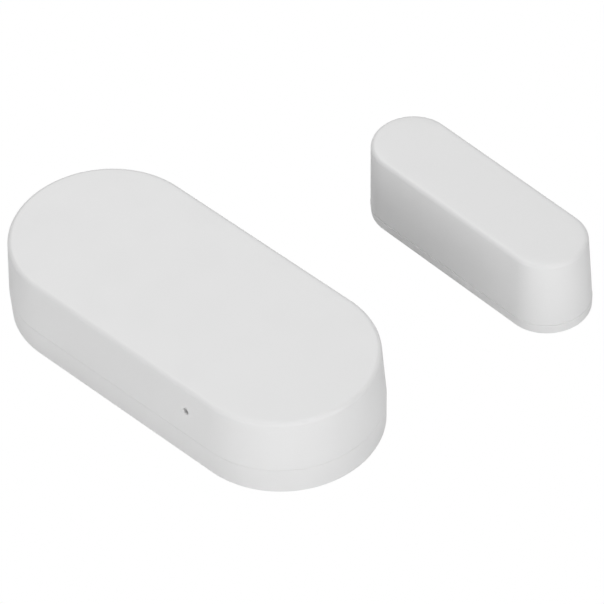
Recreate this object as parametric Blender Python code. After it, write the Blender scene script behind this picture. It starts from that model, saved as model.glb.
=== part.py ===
"""Door contact sensor: a wireless sensor unit with a reed switch, and its magnet unit.

Metres, +Z up. The origin is the middle of the sensor unit's adhesive face, the sensor
unit's long axis is X, and the magnet unit lies on its +Y side.
"""

import math
from dataclasses import dataclass

import bmesh
import bpy
from mathutils import Vector


@dataclass(frozen=True)
class Case:
    """Sizes of a two-part moulded case with straight sides and half-round ends."""

    length: float
    width: float
    height: float
    seam: float  # height of the line between base and cover
    draft: float  # how far the cover's wall leans in between the seam and the top
    foot_inset: float  # how far the base's wall leans in between the seam and the underside
    wall: float
    roof: float  # thickness of the cover's top
    floor: float  # thickness of the base, adhesive recess included
    lip_top: float  # top of the base's inner lip, which locates the cover
    pad_inset: float  # from the case's edge to its adhesive pad


SENSOR = Case(
    length=0.0720,
    width=0.0327,
    height=0.0152,
    seam=0.0053,
    draft=0.00045,
    foot_inset=0.0002,
    wall=0.0015,
    roof=0.0015,
    floor=0.0015,
    lip_top=0.0074,
    pad_inset=0.0035,
)
MAGNET = Case(
    length=0.0457,
    width=0.0146,
    height=0.0149,
    seam=0.0021,
    draft=0.0005,
    foot_inset=0.0001,
    wall=0.0013,
    roof=0.0014,
    floor=0.0014,
    lip_top=0.0042,
    pad_inset=0.0022,
)

# Where the magnet unit lies beside the sensor unit
MAGNET_X = 0.0171
MAGNET_Y = 0.0479
MAGNET_YAW = math.radians(-2.9)

# Moulding details that both cases share
CLEARANCE = 0.0003  # between neighbouring pieces
LIP_WALL = 0.0009
LIP_CHAMFER = 0.0002
TOP_RADIUS = 0.0008
FOOT_RADIUS = 0.0003
PAD_PROUD = 0.0002  # how far the adhesive pad stands out of the base
PAD_RECESS = 0.0005

# How finely round shapes are divided
END_STEPS = 32  # flats round each half-round end
FILLET_STEPS = 5
CORNER_STEPS = 4
FACETS_FEW = 12
FACETS = 24
FACETS_MANY = 36
SMOOTH_ANGLE = math.radians(35)

# Snap beads on the lip and their grooves in the cover
BEAD_RADIUS = 0.0005
BEAD_PROUD = 0.0002
BEAD_LENGTH = 0.0060
BEAD_X = 0.0100
BEAD_BELOW_TOP = 0.0009
GROOVE_PLAY = 0.00025

# Pry notch in each cover's lower edge, on its +Y side
NOTCH_WIDTH = 0.0060
NOTCH_HEIGHT = 0.0009
NOTCH_DEPTH = 0.0008
SENSOR_NOTCH_X = -0.0160

# Pinhole in the sensor cover's -Y wall
PINHOLE_DIAMETER = 0.0011
PINHOLE_Z = 0.0104

# AAA cells
CELL_DIAMETER = 0.0105
CELL_LENGTH = 0.0445
CELL_EDGE = 0.0004
CELL_RIM = 0.0012  # from the can's side to the dish in its flat end
CELL_DISH_SLOPE = 0.0004
CELL_RECESS = 0.0003
NUB_DIAMETER = 0.0038
NUB_LENGTH = 0.0010
NUB_FILLET = 0.0004
NUB_FOOT = 0.0001
NUB_EDGE = 0.0002
CELL_PLAY = 0.0004  # between the two cells
CELL_SINK = 0.0002  # between a cell and its cradle
CELL_TO_TONGUE = 0.0004  # between a cell and the board's tongue beside it

# Battery tray
TRAY_FLOOR = 0.0005
TRAY_WALL = 0.0010
END_WALL = 0.0010
END_WALL_SETBACK = 0.0001  # from the tray's flat end to the middle wall's outer face
LINK_WALL_TOP = 0.0110
LINK_REACH = 0.0041  # how far the link plate and its wall reach past a cell's axis
RIB_WIDTH = 0.0012
RIB_PITCH = 0.0130
RIB_COUNT = 3
RIDGE_WIDTH = 0.0010
RIDGE_TOP = 0.0046

# Battery contacts
SHEET = 0.0003
SHEET_GAP = 0.00015
SHEET_WIDTH = 0.0068
SHEET_BOTTOM = 0.0036
SHEET_LIP = 0.0012
TAB_WIDTH = 0.0026
TAB_REACH = 0.0016  # how far a tab lies over the circuit board
SPRING_SPACE = 0.0024
SPRING_WIRE = 0.0005
SPRING_TURNS = 3
SPRING_STEPS = 16  # steps in each turn
SPRING_SIDES = 6
SPRING_LARGE = 0.0032
SPRING_SMALL = 0.0015

# Circuit board
BOARD_THICKNESS = 0.0010
SOLDER = 0.0001  # stand-off of a soldered part
TONGUE_PAST_SWITCH = 0.0034
SCREW_X = 0.0039  # from the board's inner edge
SCREW_Y = 0.0106
SCREW_HOLE = 0.0024
SCREW_DIAMETER = 0.0019
SCREW_LENGTH = 0.0050
SCREW_HEAD_DIAMETER = 0.0036
SCREW_HEAD_HEIGHT = 0.0012
SCREW_CROWN_DIAMETER = 0.0026
SCREW_TIP_DIAMETER = 0.0010
SCREW_SLOT = 0.0006
SCREW_SLOT_LENGTH = 0.0020
SCREW_SLOT_DEPTH = 0.0006
POST_DIAMETER = 0.0040
PILOT_DIAMETER = 0.0022
PILOT_DEPTH = 0.0054

# Setup switch
SWITCH_BEFORE_BOARD = 0.00687  # from the board's inner edge to the pinhole and its switch
SWITCH_WIDTH = 0.0040
SWITCH_DEPTH = 0.0020
SWITCH_HEIGHT = 0.0018
PLUNGER_WIDTH = 0.0016
PLUNGER_HEIGHT = 0.0008
PLUNGER_LENGTH = 0.0017
PLUNGER_PROUD = 0.0007
PLUNGER_PLAY = 0.0002
TIP_TO_WALL = 0.0007

# Reed switch
REED_BEFORE_BOARD = 0.01047  # from the board's inner edge to the reed switch's middle
GLASS_LENGTH = 0.0120
GLASS_DIAMETER = 0.0020
GLASS_BORE = 0.0015
GLASS_TAPER = 0.0006
GLASS_END_DIAMETER = 0.0014
GLASS_MOUTH = 0.0009
REED_SPAN = 0.0158
REED_WIRE = 0.0005
REED_BEND = 0.0005
REED_SIDES = 8
REED_HOLE = 0.0010
BLADE_HALF_WIDTH = 0.00045
BLADE_HALF_THICKNESS = 0.0001
BLADE_OFFSET = 0.00015
BLADE_OVERLAP = 0.0010
TONGUE_MARGIN = 0.0012

# Radio module
RADIO_LENGTH = 0.0083
RADIO_WIDTH = 0.0140
RADIO_THICKNESS = 0.0008
SHIELD_LENGTH = 0.0054
SHIELD_WIDTH = 0.0120
SHIELD_HEIGHT = 0.0018
SHIELD_SHEET = 0.0002
SHIELD_RADIUS = 0.0006
SHIELD_MARGIN = 0.0004
TRACE_WIDTH = 0.0005
TRACE_THICKNESS = 0.0001
TRACE_PITCH = 0.0012
TRACE_RUNS = 10
TRACE_REACH = 0.0016

# Other parts on the circuit board
CAPACITOR_DIAMETER = 0.0050
CAPACITOR_HEIGHT = 0.0052
CAPACITOR_NECK = 0.0013  # from the can's foot to the groove round it
CAPACITOR_GROOVE = 0.0003
CAPACITOR_X = 0.0061  # from the board's inner edge
REGULATOR_SIZE = (0.0029, 0.0014, 0.0010)
LED_SIZE = (0.0016, 0.0012, 0.0007)
LED_FROM_SWITCH = 0.0042
CHIP_SIZE = (0.0016, 0.0008, 0.0005)

# Cover's keel rib, which steadies the cells
KEEL_WIDTH = 0.0010
KEEL_GAP = 0.0006  # between the rib and each cell

# Bar magnet and its cradle
BAR_SIZE = (0.0260, 0.0060, 0.0045)
BAR_BOTTOM = 0.0080
CRADLE_WALL = 0.0010
CRADLE_SHELF = 0.0010
CRADLE_LEG = 0.0016
CRADLE_CHEEK = 0.0024
MAGNET_BEAD_X = 0.0080
MAGNET_BEAD_LENGTH = 0.0040

EMBED = 0.0004  # how far a joined shape reaches into its host
PAST = 0.0020  # how far a cutter reaches past what it cuts

# Places worked out from the sizes above
SENSOR_ARC_X = (SENSOR.length - SENSOR.width) / 2
FLOOR_Z = PAD_PROUD + SENSOR.floor
TRAY_Z = FLOOR_Z + CLEARANCE
TRAY_INSET = SENSOR.wall + LIP_WALL + 2 * CLEARANCE
TRAY_HALF = SENSOR.width / 2 - TRAY_INSET
CELL_Y = (CELL_DIAMETER + CELL_PLAY) / 2
CELL_Z = TRAY_Z + TRAY_FLOOR + CLEARANCE + CELL_DIAMETER / 2
KEEL_TO_AXIS = CELL_DIAMETER / 2 + KEEL_GAP
KEEL_BOTTOM = CELL_Z + math.sqrt(KEEL_TO_AXIS**2 - (CELL_Y - KEEL_WIDTH / 2) ** 2)
BOARD_TOP = PINHOLE_Z - SWITCH_HEIGHT / 2 - SOLDER
BOARD_BOTTOM = BOARD_TOP - BOARD_THICKNESS
TRAY_TOP = BOARD_BOTTOM - CLEARANCE
LINK_WALL_HALF = CELL_Y + LINK_REACH
LINK_WALL_X = -SENSOR_ARC_X - math.sqrt(TRAY_HALF**2 - LINK_WALL_HALF**2)
LINK_X = LINK_WALL_X + END_WALL + SHEET_GAP
LINK_FACE = LINK_X + SHEET
CELL_2_X = LINK_FACE + SHEET_GAP
CELL_1_X = LINK_FACE + SPRING_SPACE
TERMINAL_FACE = CELL_2_X + CELL_LENGTH + SPRING_SPACE
TRAY_END = TERMINAL_FACE + SHEET + SHEET_GAP + END_WALL
BOARD_X = TRAY_END + CLEARANCE
PINHOLE_X = BOARD_X - SWITCH_BEFORE_BOARD
REED_X = BOARD_X - REED_BEFORE_BOARD
BOARD_HALF = SENSOR.width / 2 - SENSOR.wall - SENSOR.draft - CLEARANCE
TONGUE_Y = CELL_Y + CELL_DIAMETER / 2 + CELL_TO_TONGUE
REED_Y = (BOARD_HALF + TONGUE_Y) / 2
REED_Z = BOARD_TOP + CLEARANCE + GLASS_DIAMETER / 2
RADIO_X = BOARD_X + TAB_REACH + CLEARANCE
RADIO_Z = BOARD_TOP + SOLDER


def material(name, colour, roughness, metallic=0.0):
    """Principled material of one even colour."""
    made = bpy.data.materials.new(name)
    made.use_nodes = True
    shader = made.node_tree.nodes["Principled BSDF"]
    shader.inputs["Base Color"].default_value = (*colour, 1.0)
    shader.inputs["Roughness"].default_value = roughness
    shader.inputs["Metallic"].default_value = metallic
    return made


def clear_scene():
    """Remove whatever the scene holds."""
    for old in list(bpy.data.objects):
        bpy.data.objects.remove(old)


def empty(name, location=(0, 0, 0), yaw=0.0):
    """Empty that carries one unit."""
    made = bpy.data.objects.new(name, None)
    made.location = location
    made.rotation_euler.z = yaw
    bpy.context.scene.collection.objects.link(made)
    return made


def loft(name, rings, parent, origin=(0, 0, 0), closed=False):
    """Solid through rings of equally many points, with its two end rings filled.

    A closed one joins its last ring to its first instead, as a tube's wall does.
    """
    build = bmesh.new()
    middle = Vector(origin)
    rows = [[build.verts.new(Vector(point) - middle) for point in ring] for ring in rings]
    following = rows[1:] + rows[:1] if closed else rows[1:]
    for low, high in zip(rows, following):
        for index, corner in enumerate(low):
            after = (index + 1) % len(low)
            build.faces.new((corner, low[after], high[after], high[index]))
    if not closed:
        build.faces.new(reversed(rows[0]))
        build.faces.new(rows[-1])
    bmesh.ops.recalc_face_normals(build, faces=build.faces)
    mesh = bpy.data.meshes.new(name)
    build.to_mesh(mesh)
    build.free()
    mesh.shade_smooth()
    mesh.set_sharp_from_angle(angle=SMOOTH_ANGLE)
    made = bpy.data.objects.new(name, mesh)
    made.location = origin
    made.parent = parent
    bpy.context.scene.collection.objects.link(made)
    return made


def box(name, low, high, parent, origin=(0, 0, 0)):
    """Block between two corners."""
    corners = [(low[0], low[1]), (high[0], low[1]), (high[0], high[1]), (low[0], high[1])]
    rings = [[(x, y, z) for x, y in corners] for z in (low[2], high[2])]
    return loft(name, rings, parent, origin)


def chip(name, x, y, z, size, parent):
    """Block of a given size that stands on height z."""
    half_x, half_y = size[0] / 2, size[1] / 2
    return box(name, (x - half_x, y - half_y, z), (x + half_x, y + half_y, z + size[2]), parent)


def turned(name, profile, centre, axis, steps, parent, closed=False):
    """Solid of revolution; the profile lists (distance along the axis, radius)."""
    along = {"x": Vector((1, 0, 0)), "y": Vector((0, 1, 0)), "z": Vector((0, 0, 1))}[axis]
    side = Vector((0, 0, 1)) if axis != "z" else Vector((1, 0, 0))
    other = along.cross(side)
    angles = [2 * math.pi * step / steps for step in range(steps)]
    spokes = [side * math.cos(angle) + other * math.sin(angle) for angle in angles]
    middles = [(Vector(centre) + along * far, radius) for far, radius in profile]
    rings = [[middle + radius * spoke for spoke in spokes] for middle, radius in middles]
    return loft(name, rings, parent, closed=closed)


def prism(name, outline, start, end, parent):
    """Flat outline of (x, y) points, extruded between two heights."""
    return loft(name, [[(x, y, z) for x, y in outline] for z in (start, end)], parent)


def stadium(case, inset, z):
    """Ring of the case's outline, moved in by inset: two half circles with straight sides."""
    centre = (case.length - case.width) / 2
    radius = case.width / 2 - inset
    points = []
    for side, start in ((1, -math.pi / 2), (-1, math.pi / 2)):
        for step in range(END_STEPS + 1):
            angle = start + math.pi * step / END_STEPS
            points.append((side * centre + radius * math.cos(angle), radius * math.sin(angle), z))
    return points


def tray_outline(inset, z):
    """Ring of the tray: the case's outline moved in, cut straight across at the +X end."""
    radius = TRAY_HALF - inset
    end = TRAY_END - inset
    corner = [(end, radius)]
    if TRAY_END - TRAY_WALL > SENSOR_ARC_X:
        turn = math.asin((end - SENSOR_ARC_X) / radius)
        angles = [turn * step / CORNER_STEPS for step in range(CORNER_STEPS + 1)]
        corner = [(SENSOR_ARC_X + radius * math.sin(a), radius * math.cos(a)) for a in angles]
    points = [(x, -y, z) for x, y in corner] + [(x, y, z) for x, y in reversed(corner)]
    for step in range(END_STEPS + 1):
        angle = math.pi / 2 + math.pi * step / END_STEPS
        points.append((-SENSOR_ARC_X + radius * math.cos(angle), radius * math.sin(angle), z))
    return points


def rounded_rectangle(centre, half_x, half_y, radius, z):
    """Ring with four rounded corners."""
    points = []
    for quarter, (side_x, side_y) in enumerate(((1, 1), (-1, 1), (-1, -1), (1, -1))):
        for step in range(CORNER_STEPS + 1):
            angle = math.pi / 2 * (quarter + step / CORNER_STEPS)
            x = centre[0] + side_x * (half_x - radius) + radius * math.cos(angle)
            y = centre[1] + side_y * (half_y - radius) + radius * math.sin(angle)
            points.append((x, y, z))
    return points


def ribbon(path, width):
    """Outline of a strip along a path whose turns are all square."""
    steps = [(Vector(b) - Vector(a)).normalized() for a, b in zip(path, path[1:])]
    before = [steps[0]] + steps
    after = steps + [steps[-1]]
    left, right = [], []
    for point, first, second in zip(path, before, after):
        side = Vector((-first.y, first.x))
        if first != second:
            side += Vector((-second.y, second.x))
        left.append(tuple(Vector(point) + side * width / 2))
        right.append(tuple(Vector(point) - side * width / 2))
    return left + right[::-1]


def combine(host, tool, operation):
    """Boolean of two closed solids; the tool stays in the scene as a wire guide."""
    tool.hide_render = True
    tool.display_type = "WIRE"
    step = host.modifiers.new(tool.name, "BOOLEAN")
    step.operation = operation
    step.solver = "EXACT"
    step.object = tool


def cut(host, tool):
    """Take the tool's shape out of the host."""
    combine(host, tool, "DIFFERENCE")


def join(host, tool):
    """Make the tool's shape part of the host."""
    combine(host, tool, "UNION")


def dress(piece, finish):
    """Give a piece its one material."""
    piece.data.materials.append(finish)
    return piece


def lip_inset(case):
    """Distance from the case's edge to the outer face of the base's lip."""
    return case.wall + CLEARANCE


def cover_lean(case, z):
    """How far the cover's wall has leaned in at a height."""
    return case.draft * (z - case.seam) / (case.height - case.seam)


def cover_shell(name, case, parent):
    """Cover: a cup turned upside down, with a leaning wall and a rounded top edge."""
    bottom = case.seam + CLEARANCE / 2
    ceiling = case.height - case.roof
    rings = [
        stadium(case, case.wall + cover_lean(case, ceiling), ceiling),
        stadium(case, case.wall, bottom),
        stadium(case, 0, bottom),
    ]
    shoulder = cover_lean(case, case.height - TOP_RADIUS)
    for step in range(FILLET_STEPS + 1):
        angle = math.pi / 2 * step / FILLET_STEPS
        inset = shoulder + TOP_RADIUS * (1 - math.cos(angle))
        rings.append(stadium(case, inset, case.height - TOP_RADIUS * (1 - math.sin(angle))))
    return loft(name, rings, parent)


def base_shell(name, case, parent):
    """Base: a shallow tray with a recess underneath and a locating lip inside."""
    recess = case.pad_inset - CLEARANCE
    rim = case.seam - CLEARANCE / 2
    lip = lip_inset(case)
    foot = case.foot_inset
    part_way = FOOT_RADIUS * (1 - math.sqrt(0.5))
    rings = [
        stadium(case, recess, PAD_PROUD + PAD_RECESS),
        stadium(case, recess, PAD_PROUD),
        stadium(case, foot + FOOT_RADIUS, PAD_PROUD),
        stadium(case, foot + part_way, PAD_PROUD + part_way),
        stadium(case, foot, PAD_PROUD + FOOT_RADIUS),
        stadium(case, 0, rim),
        stadium(case, lip, rim),
        stadium(case, lip, case.lip_top - LIP_CHAMFER),
        stadium(case, lip + LIP_CHAMFER, case.lip_top),
        stadium(case, lip + LIP_WALL, case.lip_top),
        stadium(case, lip + LIP_WALL, PAD_PROUD + case.floor),
    ]
    return loft(name, rings, parent)


def adhesive_pad(name, case, parent):
    """Foam tape that fills the base's recess and stands a little proud of it."""
    top = PAD_PROUD + PAD_RECESS - CLEARANCE
    rings = [stadium(case, case.pad_inset, z) for z in (0, top)]
    return loft(name, rings, parent)


def snaps(prefix, cover, base, case, bead_x, bead_length, parent):
    """Low beads on the lip and wider grooves inside the cover, two on each long side."""
    z = case.lip_top - BEAD_BELOW_TOP
    face = case.width / 2 - lip_inset(case)
    for number, (x, side) in enumerate(((-bead_x, -1), (bead_x, -1), (-bead_x, 1), (bead_x, 1))):
        y = side * (face - BEAD_RADIUS + BEAD_PROUD)
        centre = (x - bead_length / 2, y, z)
        bar = [(0, BEAD_RADIUS), (bead_length, BEAD_RADIUS)]
        join(base, turned(f"{prefix}_bead_{number}", bar, centre, "x", FACETS_FEW, parent))
        reach = BEAD_RADIUS + CLEARANCE - BEAD_PROUD + GROOVE_PLAY
        hollow = [(-GROOVE_PLAY, reach), (bead_length + GROOVE_PLAY, reach)]
        cut(cover, turned(f"{prefix}_groove_{number}", hollow, centre, "x", FACETS_FEW, parent))


def pry_notch(prefix, cover, case, x, parent):
    """Small notch in the cover's lower edge, on the +Y side, for a fingernail or a coin."""
    low = (x - NOTCH_WIDTH / 2, case.width / 2 - NOTCH_DEPTH, case.seam - PAST)
    high = (x + NOTCH_WIDTH / 2, case.width / 2 + PAST, case.seam + NOTCH_HEIGHT)
    cut(cover, box(f"{prefix}_notch", low, high, parent))


def sensor_case(unit, plastic, foam):
    """Cover, base and adhesive pad of the sensor unit."""
    cover = dress(cover_shell("sensor_cover", SENSOR, unit), plastic)
    base = dress(base_shell("sensor_base", SENSOR, unit), plastic)
    dress(adhesive_pad("sensor_adhesive_pad", SENSOR, unit), foam)
    snaps("sensor", cover, base, SENSOR, BEAD_X, BEAD_LENGTH, unit)
    pry_notch("sensor", cover, SENSOR, SENSOR_NOTCH_X, unit)
    keel_low = (CELL_1_X + RIB_WIDTH, -KEEL_WIDTH / 2, KEEL_BOTTOM)
    keel_high = (TERMINAL_FACE - RIB_WIDTH, KEEL_WIDTH / 2, SENSOR.height - SENSOR.roof + EMBED)
    join(cover, box("keel", keel_low, keel_high, unit))
    depth = SENSOR.wall + 2 * PAST
    start = (PINHOLE_X, -SENSOR.width / 2 - PAST, PINHOLE_Z)
    hole = [(0, PINHOLE_DIAMETER / 2), (depth, PINHOLE_DIAMETER / 2)]
    cut(cover, turned("pinhole", hole, start, "y", FACETS, unit))
    post = [(FLOOR_Z - EMBED, POST_DIAMETER / 2), (TRAY_TOP, POST_DIAMETER / 2)]
    pilot = [(TRAY_TOP - PILOT_DEPTH, PILOT_DIAMETER / 2), (TRAY_TOP + PAST, PILOT_DIAMETER / 2)]
    for side in (-1, 1):
        foot = (BOARD_X + SCREW_X, side * SCREW_Y, 0)
        join(base, turned(f"post_{side}", post, foot, "z", FACETS, unit))
        cut(base, turned(f"pilot_{side}", pilot, foot, "z", FACETS_FEW, unit))


def battery_tray(unit, plastic):
    """Frame with a floor, a low wall, cradle ribs and a high wall at each end."""
    rings = [
        tray_outline(0, TRAY_Z),
        tray_outline(0, TRAY_TOP),
        tray_outline(TRAY_WALL, TRAY_TOP),
        tray_outline(TRAY_WALL, TRAY_Z + TRAY_FLOOR),
    ]
    tray = dress(loft("battery_tray", rings, unit), plastic)
    low = TRAY_Z + TRAY_FLOOR / 2
    link_low = (LINK_WALL_X, -LINK_WALL_HALF, low)
    link_high = (LINK_WALL_X + END_WALL, LINK_WALL_HALF, LINK_WALL_TOP)
    join(tray, box("link_wall", link_low, link_high, unit))
    end_low = (TRAY_END - END_WALL, -CELL_Y - SHEET_WIDTH / 2, low)
    end_high = (TRAY_END - END_WALL_SETBACK, CELL_Y + SHEET_WIDTH / 2, BOARD_TOP + SOLDER - CLEARANCE)
    join(tray, box("terminal_wall", end_low, end_high, unit))
    middle = (CELL_1_X + CELL_2_X + CELL_LENGTH) / 2
    half = TRAY_HALF - TRAY_WALL / 2
    for number in range(RIB_COUNT):
        x = middle + RIB_PITCH * (number - (RIB_COUNT - 1) / 2)
        rib_high = (x + RIB_WIDTH / 2, half, CELL_Z - EMBED)
        join(tray, box(f"rib_{number}", (x - RIB_WIDTH / 2, -half, low), rib_high, unit))
    ridge_low = (LINK_FACE + SHEET + RIB_WIDTH, -RIDGE_WIDTH / 2, low)
    ridge_high = (TERMINAL_FACE - SHEET - RIB_WIDTH, RIDGE_WIDTH / 2, RIDGE_TOP)
    join(tray, box("ridge", ridge_low, ridge_high, unit))
    radius = CELL_DIAMETER / 2 + CELL_SINK
    bays = ((CELL_Y, CELL_2_X + NUB_LENGTH - SHEET_GAP), (-CELL_Y, CELL_1_X - SHEET_GAP))
    for y, start in bays:
        profile = [(start, radius), (start + CELL_LENGTH - NUB_LENGTH + 2 * SHEET_GAP, radius)]
        cut(tray, turned(f"bay_{y > 0}", profile, (0, y, CELL_Z), "x", FACETS_MANY, unit))


def cell(name, x, y, way, unit, finish):
    """AAA cell: a can with rounded ends, a nub at one end and a shallow dish at the other."""
    radius = CELL_DIAMETER / 2
    nub = NUB_DIAMETER / 2
    can = CELL_LENGTH - NUB_LENGTH
    profile = [
        (CELL_RECESS, radius - CELL_RIM - CELL_DISH_SLOPE),
        (0, radius - CELL_RIM),
        (0, radius - CELL_EDGE),
        (CELL_EDGE, radius),
        (can - CELL_EDGE, radius),
        (can, radius - CELL_EDGE),
        (can, nub + NUB_FILLET),
        (can + NUB_FOOT, nub),
        (CELL_LENGTH - NUB_EDGE, nub),
        (CELL_LENGTH, nub - NUB_EDGE),
    ]
    placed = [(x + far if way > 0 else x + CELL_LENGTH - far, size) for far, size in profile]
    dress(turned(name, placed, (0, y, CELL_Z), "x", FACETS_MANY, unit), finish)


def spring(name, wide_x, narrow_x, y, unit, finish):
    """Conical spring: a helix whose radius shrinks evenly from the sheet to the cell."""
    wire = SPRING_WIRE / 2
    count = SPRING_TURNS * SPRING_STEPS
    sides = [2 * math.pi * side / SPRING_SIDES for side in range(SPRING_SIDES)]
    way = math.copysign(1, narrow_x - wide_x)
    start = wide_x + way * (SHEET_GAP + wire)
    end = narrow_x - way * (SHEET_GAP + wire)
    rings = []
    for step in range(count + 1):
        share = step / count
        angle = 2 * math.pi * SPRING_TURNS * share
        radial = Vector((0, math.cos(angle), math.sin(angle)))
        large = SPRING_LARGE + (SPRING_SMALL - SPRING_LARGE) * share
        centre = Vector((start + (end - start) * share, y, CELL_Z)) + radial * large
        spokes = [radial * math.cos(side) + Vector((1, 0, 0)) * math.sin(side) for side in sides]
        rings.append([centre + wire * spoke for spoke in spokes])
    dress(loft(name, rings, unit), finish)


def contacts(unit, steel):
    """Link sheet at one end, two terminal sheets at the other, and the two springs."""
    link_top = LINK_WALL_TOP + CLEARANCE
    half = LINK_WALL_HALF - EMBED
    plate = box("contact_link", (LINK_X, -half, SHEET_BOTTOM), (LINK_FACE, half, link_top + SHEET), unit)
    hook_low = (LINK_X - SHEET_LIP, -half / 2, link_top)
    hook_high = (LINK_X + SHEET / 2, half / 2, link_top + SHEET)
    join(dress(plate, steel), box("link_hook", hook_low, hook_high, unit))
    tab_z = BOARD_TOP + SOLDER
    for name, side in (("contact_positive", -1), ("contact_negative", 1)):
        y = side * CELL_Y
        low = (TERMINAL_FACE, y - SHEET_WIDTH / 2, SHEET_BOTTOM)
        high = (TERMINAL_FACE + SHEET, y + SHEET_WIDTH / 2, tab_z + SHEET)
        sheet = dress(box(name, low, high, unit), steel)
        tab_low = (TERMINAL_FACE + SHEET / 2, y - TAB_WIDTH / 2, tab_z)
        tab_high = (BOARD_X + TAB_REACH, y + TAB_WIDTH / 2, tab_z + SHEET)
        join(sheet, box(f"{name}_tab", tab_low, tab_high, unit))
    spring("spring_1", LINK_FACE, CELL_1_X, -CELL_Y, unit, steel)
    spring("spring_2", TERMINAL_FACE, CELL_2_X + CELL_LENGTH, CELL_Y, unit, steel)


def board_outline(switch_end, reed_end):
    """Outline of the board: a half-round end with a tongue along each side of the cells."""
    points = [(switch_end, -TONGUE_Y), (switch_end, -BOARD_HALF)]
    for step in range(END_STEPS + 1):
        angle = -math.pi / 2 + math.pi * step / END_STEPS
        points.append((SENSOR_ARC_X + BOARD_HALF * math.cos(angle), BOARD_HALF * math.sin(angle)))
    points += [(reed_end, BOARD_HALF), (reed_end, TONGUE_Y), (BOARD_X, TONGUE_Y), (BOARD_X, -TONGUE_Y)]
    return points


def circuit_board(unit, laminate, steel):
    """Bare board with its screw and reed holes, and the two screws."""
    reed_end = REED_X - REED_SPAN / 2 - TONGUE_MARGIN
    outline = board_outline(PINHOLE_X - TONGUE_PAST_SWITCH, reed_end)
    board = dress(prism("circuit_board", outline, BOARD_BOTTOM, BOARD_TOP, unit), laminate)
    holes = [(BOARD_X + SCREW_X, side * SCREW_Y, SCREW_HOLE) for side in (-1, 1)]
    holes += [(REED_X + side * REED_SPAN / 2, REED_Y, REED_HOLE) for side in (-1, 1)]
    for number, (x, y, size) in enumerate(holes):
        profile = [(BOARD_BOTTOM - PAST, size / 2), (BOARD_TOP + PAST, size / 2)]
        cut(board, turned(f"board_hole_{number}", profile, (x, y, 0), "z", FACETS_FEW, unit))
    for number, side in enumerate((-1, 1), 1):
        screw(f"board_screw_{number}", BOARD_X + SCREW_X, side * SCREW_Y, unit, steel)


def screw(name, x, y, unit, finish):
    """Pan-head screw with a cross recess."""
    seat = BOARD_TOP + SOLDER
    head = SCREW_HEAD_DIAMETER / 2
    shank = SCREW_DIAMETER / 2
    tip = seat - SCREW_LENGTH
    profile = [
        (tip, SCREW_TIP_DIAMETER / 2),
        (tip + shank, shank),
        (seat, shank),
        (seat, head),
        (seat + SCREW_HEAD_HEIGHT / 2, head),
        (seat + SCREW_HEAD_HEIGHT, SCREW_CROWN_DIAMETER / 2),
    ]
    body = dress(turned(name, profile, (x, y, 0), "z", FACETS, unit), finish)
    top = seat + SCREW_HEAD_HEIGHT
    arm, thin = SCREW_SLOT_LENGTH / 2, SCREW_SLOT / 2
    for number, (half_x, half_y) in enumerate(((arm, thin), (thin, arm))):
        low = (x - half_x, y - half_y, top - SCREW_SLOT_DEPTH)
        high = (x + half_x, y + half_y, top + PAST)
        cut(body, box(f"{name}_slot_{number}", low, high, unit))


def setup_switch(unit, black, pale):
    """Side-push switch behind the pinhole: a body with a socket, and its plunger."""
    inner = SENSOR.width / 2 - SENSOR.wall - cover_lean(SENSOR, PINHOLE_Z)
    tip = -(inner - TIP_TO_WALL)
    front = tip + PLUNGER_PROUD
    half = SWITCH_WIDTH / 2
    low = (PINHOLE_X - half, front, BOARD_TOP + SOLDER)
    high = (PINHOLE_X + half, front + SWITCH_DEPTH, BOARD_TOP + SOLDER + SWITCH_HEIGHT)
    body = dress(box("setup_switch_body", low, high, unit), black)
    half_x, half_z = PLUNGER_WIDTH / 2, PLUNGER_HEIGHT / 2
    room = tip + PLUNGER_LENGTH + CLEARANCE + PLUNGER_PLAY
    socket_low = (PINHOLE_X - half_x - PLUNGER_PLAY, front - PAST, PINHOLE_Z - half_z - PLUNGER_PLAY)
    socket_high = (PINHOLE_X + half_x + PLUNGER_PLAY, room, PINHOLE_Z + half_z + PLUNGER_PLAY)
    cut(body, box("switch_socket", socket_low, socket_high, unit))
    stem_low = (PINHOLE_X - half_x, tip, PINHOLE_Z - half_z)
    stem_high = (PINHOLE_X + half_x, tip + PLUNGER_LENGTH, PINHOLE_Z + half_z)
    plunger = box("setup_switch_plunger", stem_low, stem_high, unit, origin=(PINHOLE_X, tip, PINHOLE_Z))
    dress(plunger, pale)


def reed_lead(name, side, unit, steel):
    """One lead of the reed switch: up out of the board, round a bend and flat inside the glass."""
    wire = REED_WIRE / 2
    far = REED_SPAN / 2
    path = [(far, BOARD_BOTTOM + wire, wire, wire)]
    for step in range(CORNER_STEPS + 1):
        angle = math.pi / 2 * step / CORNER_STEPS
        x = far - REED_BEND * (1 - math.cos(angle))
        path.append((x, REED_Z - REED_BEND * (1 - math.sin(angle)), wire, wire))
    offset = side * BLADE_OFFSET
    path += [
        (GLASS_LENGTH / 2 - GLASS_TAPER, REED_Z, wire, wire),
        (GLASS_LENGTH / 3, REED_Z + offset, BLADE_HALF_WIDTH, BLADE_HALF_THICKNESS),
        (-BLADE_OVERLAP / 2, REED_Z + offset, BLADE_HALF_WIDTH, BLADE_HALF_THICKNESS),
    ]
    rings = []
    for index, (x, z, wide, thick) in enumerate(path):
        before, after = path[max(index - 1, 0)], path[min(index + 1, len(path) - 1)]
        along = Vector((after[0] - before[0], after[1] - before[1])).normalized()
        normal = Vector((-along.y, along.x))
        ring = []
        for step in range(REED_SIDES):
            angle = 2 * math.pi * step / REED_SIDES
            out = normal * thick * math.sin(angle)
            ring.append((REED_X + side * (x + out.x), REED_Y + wide * math.cos(angle), z + out.y))
        rings.append(ring)
    dress(loft(name, rings, unit), steel)


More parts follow.
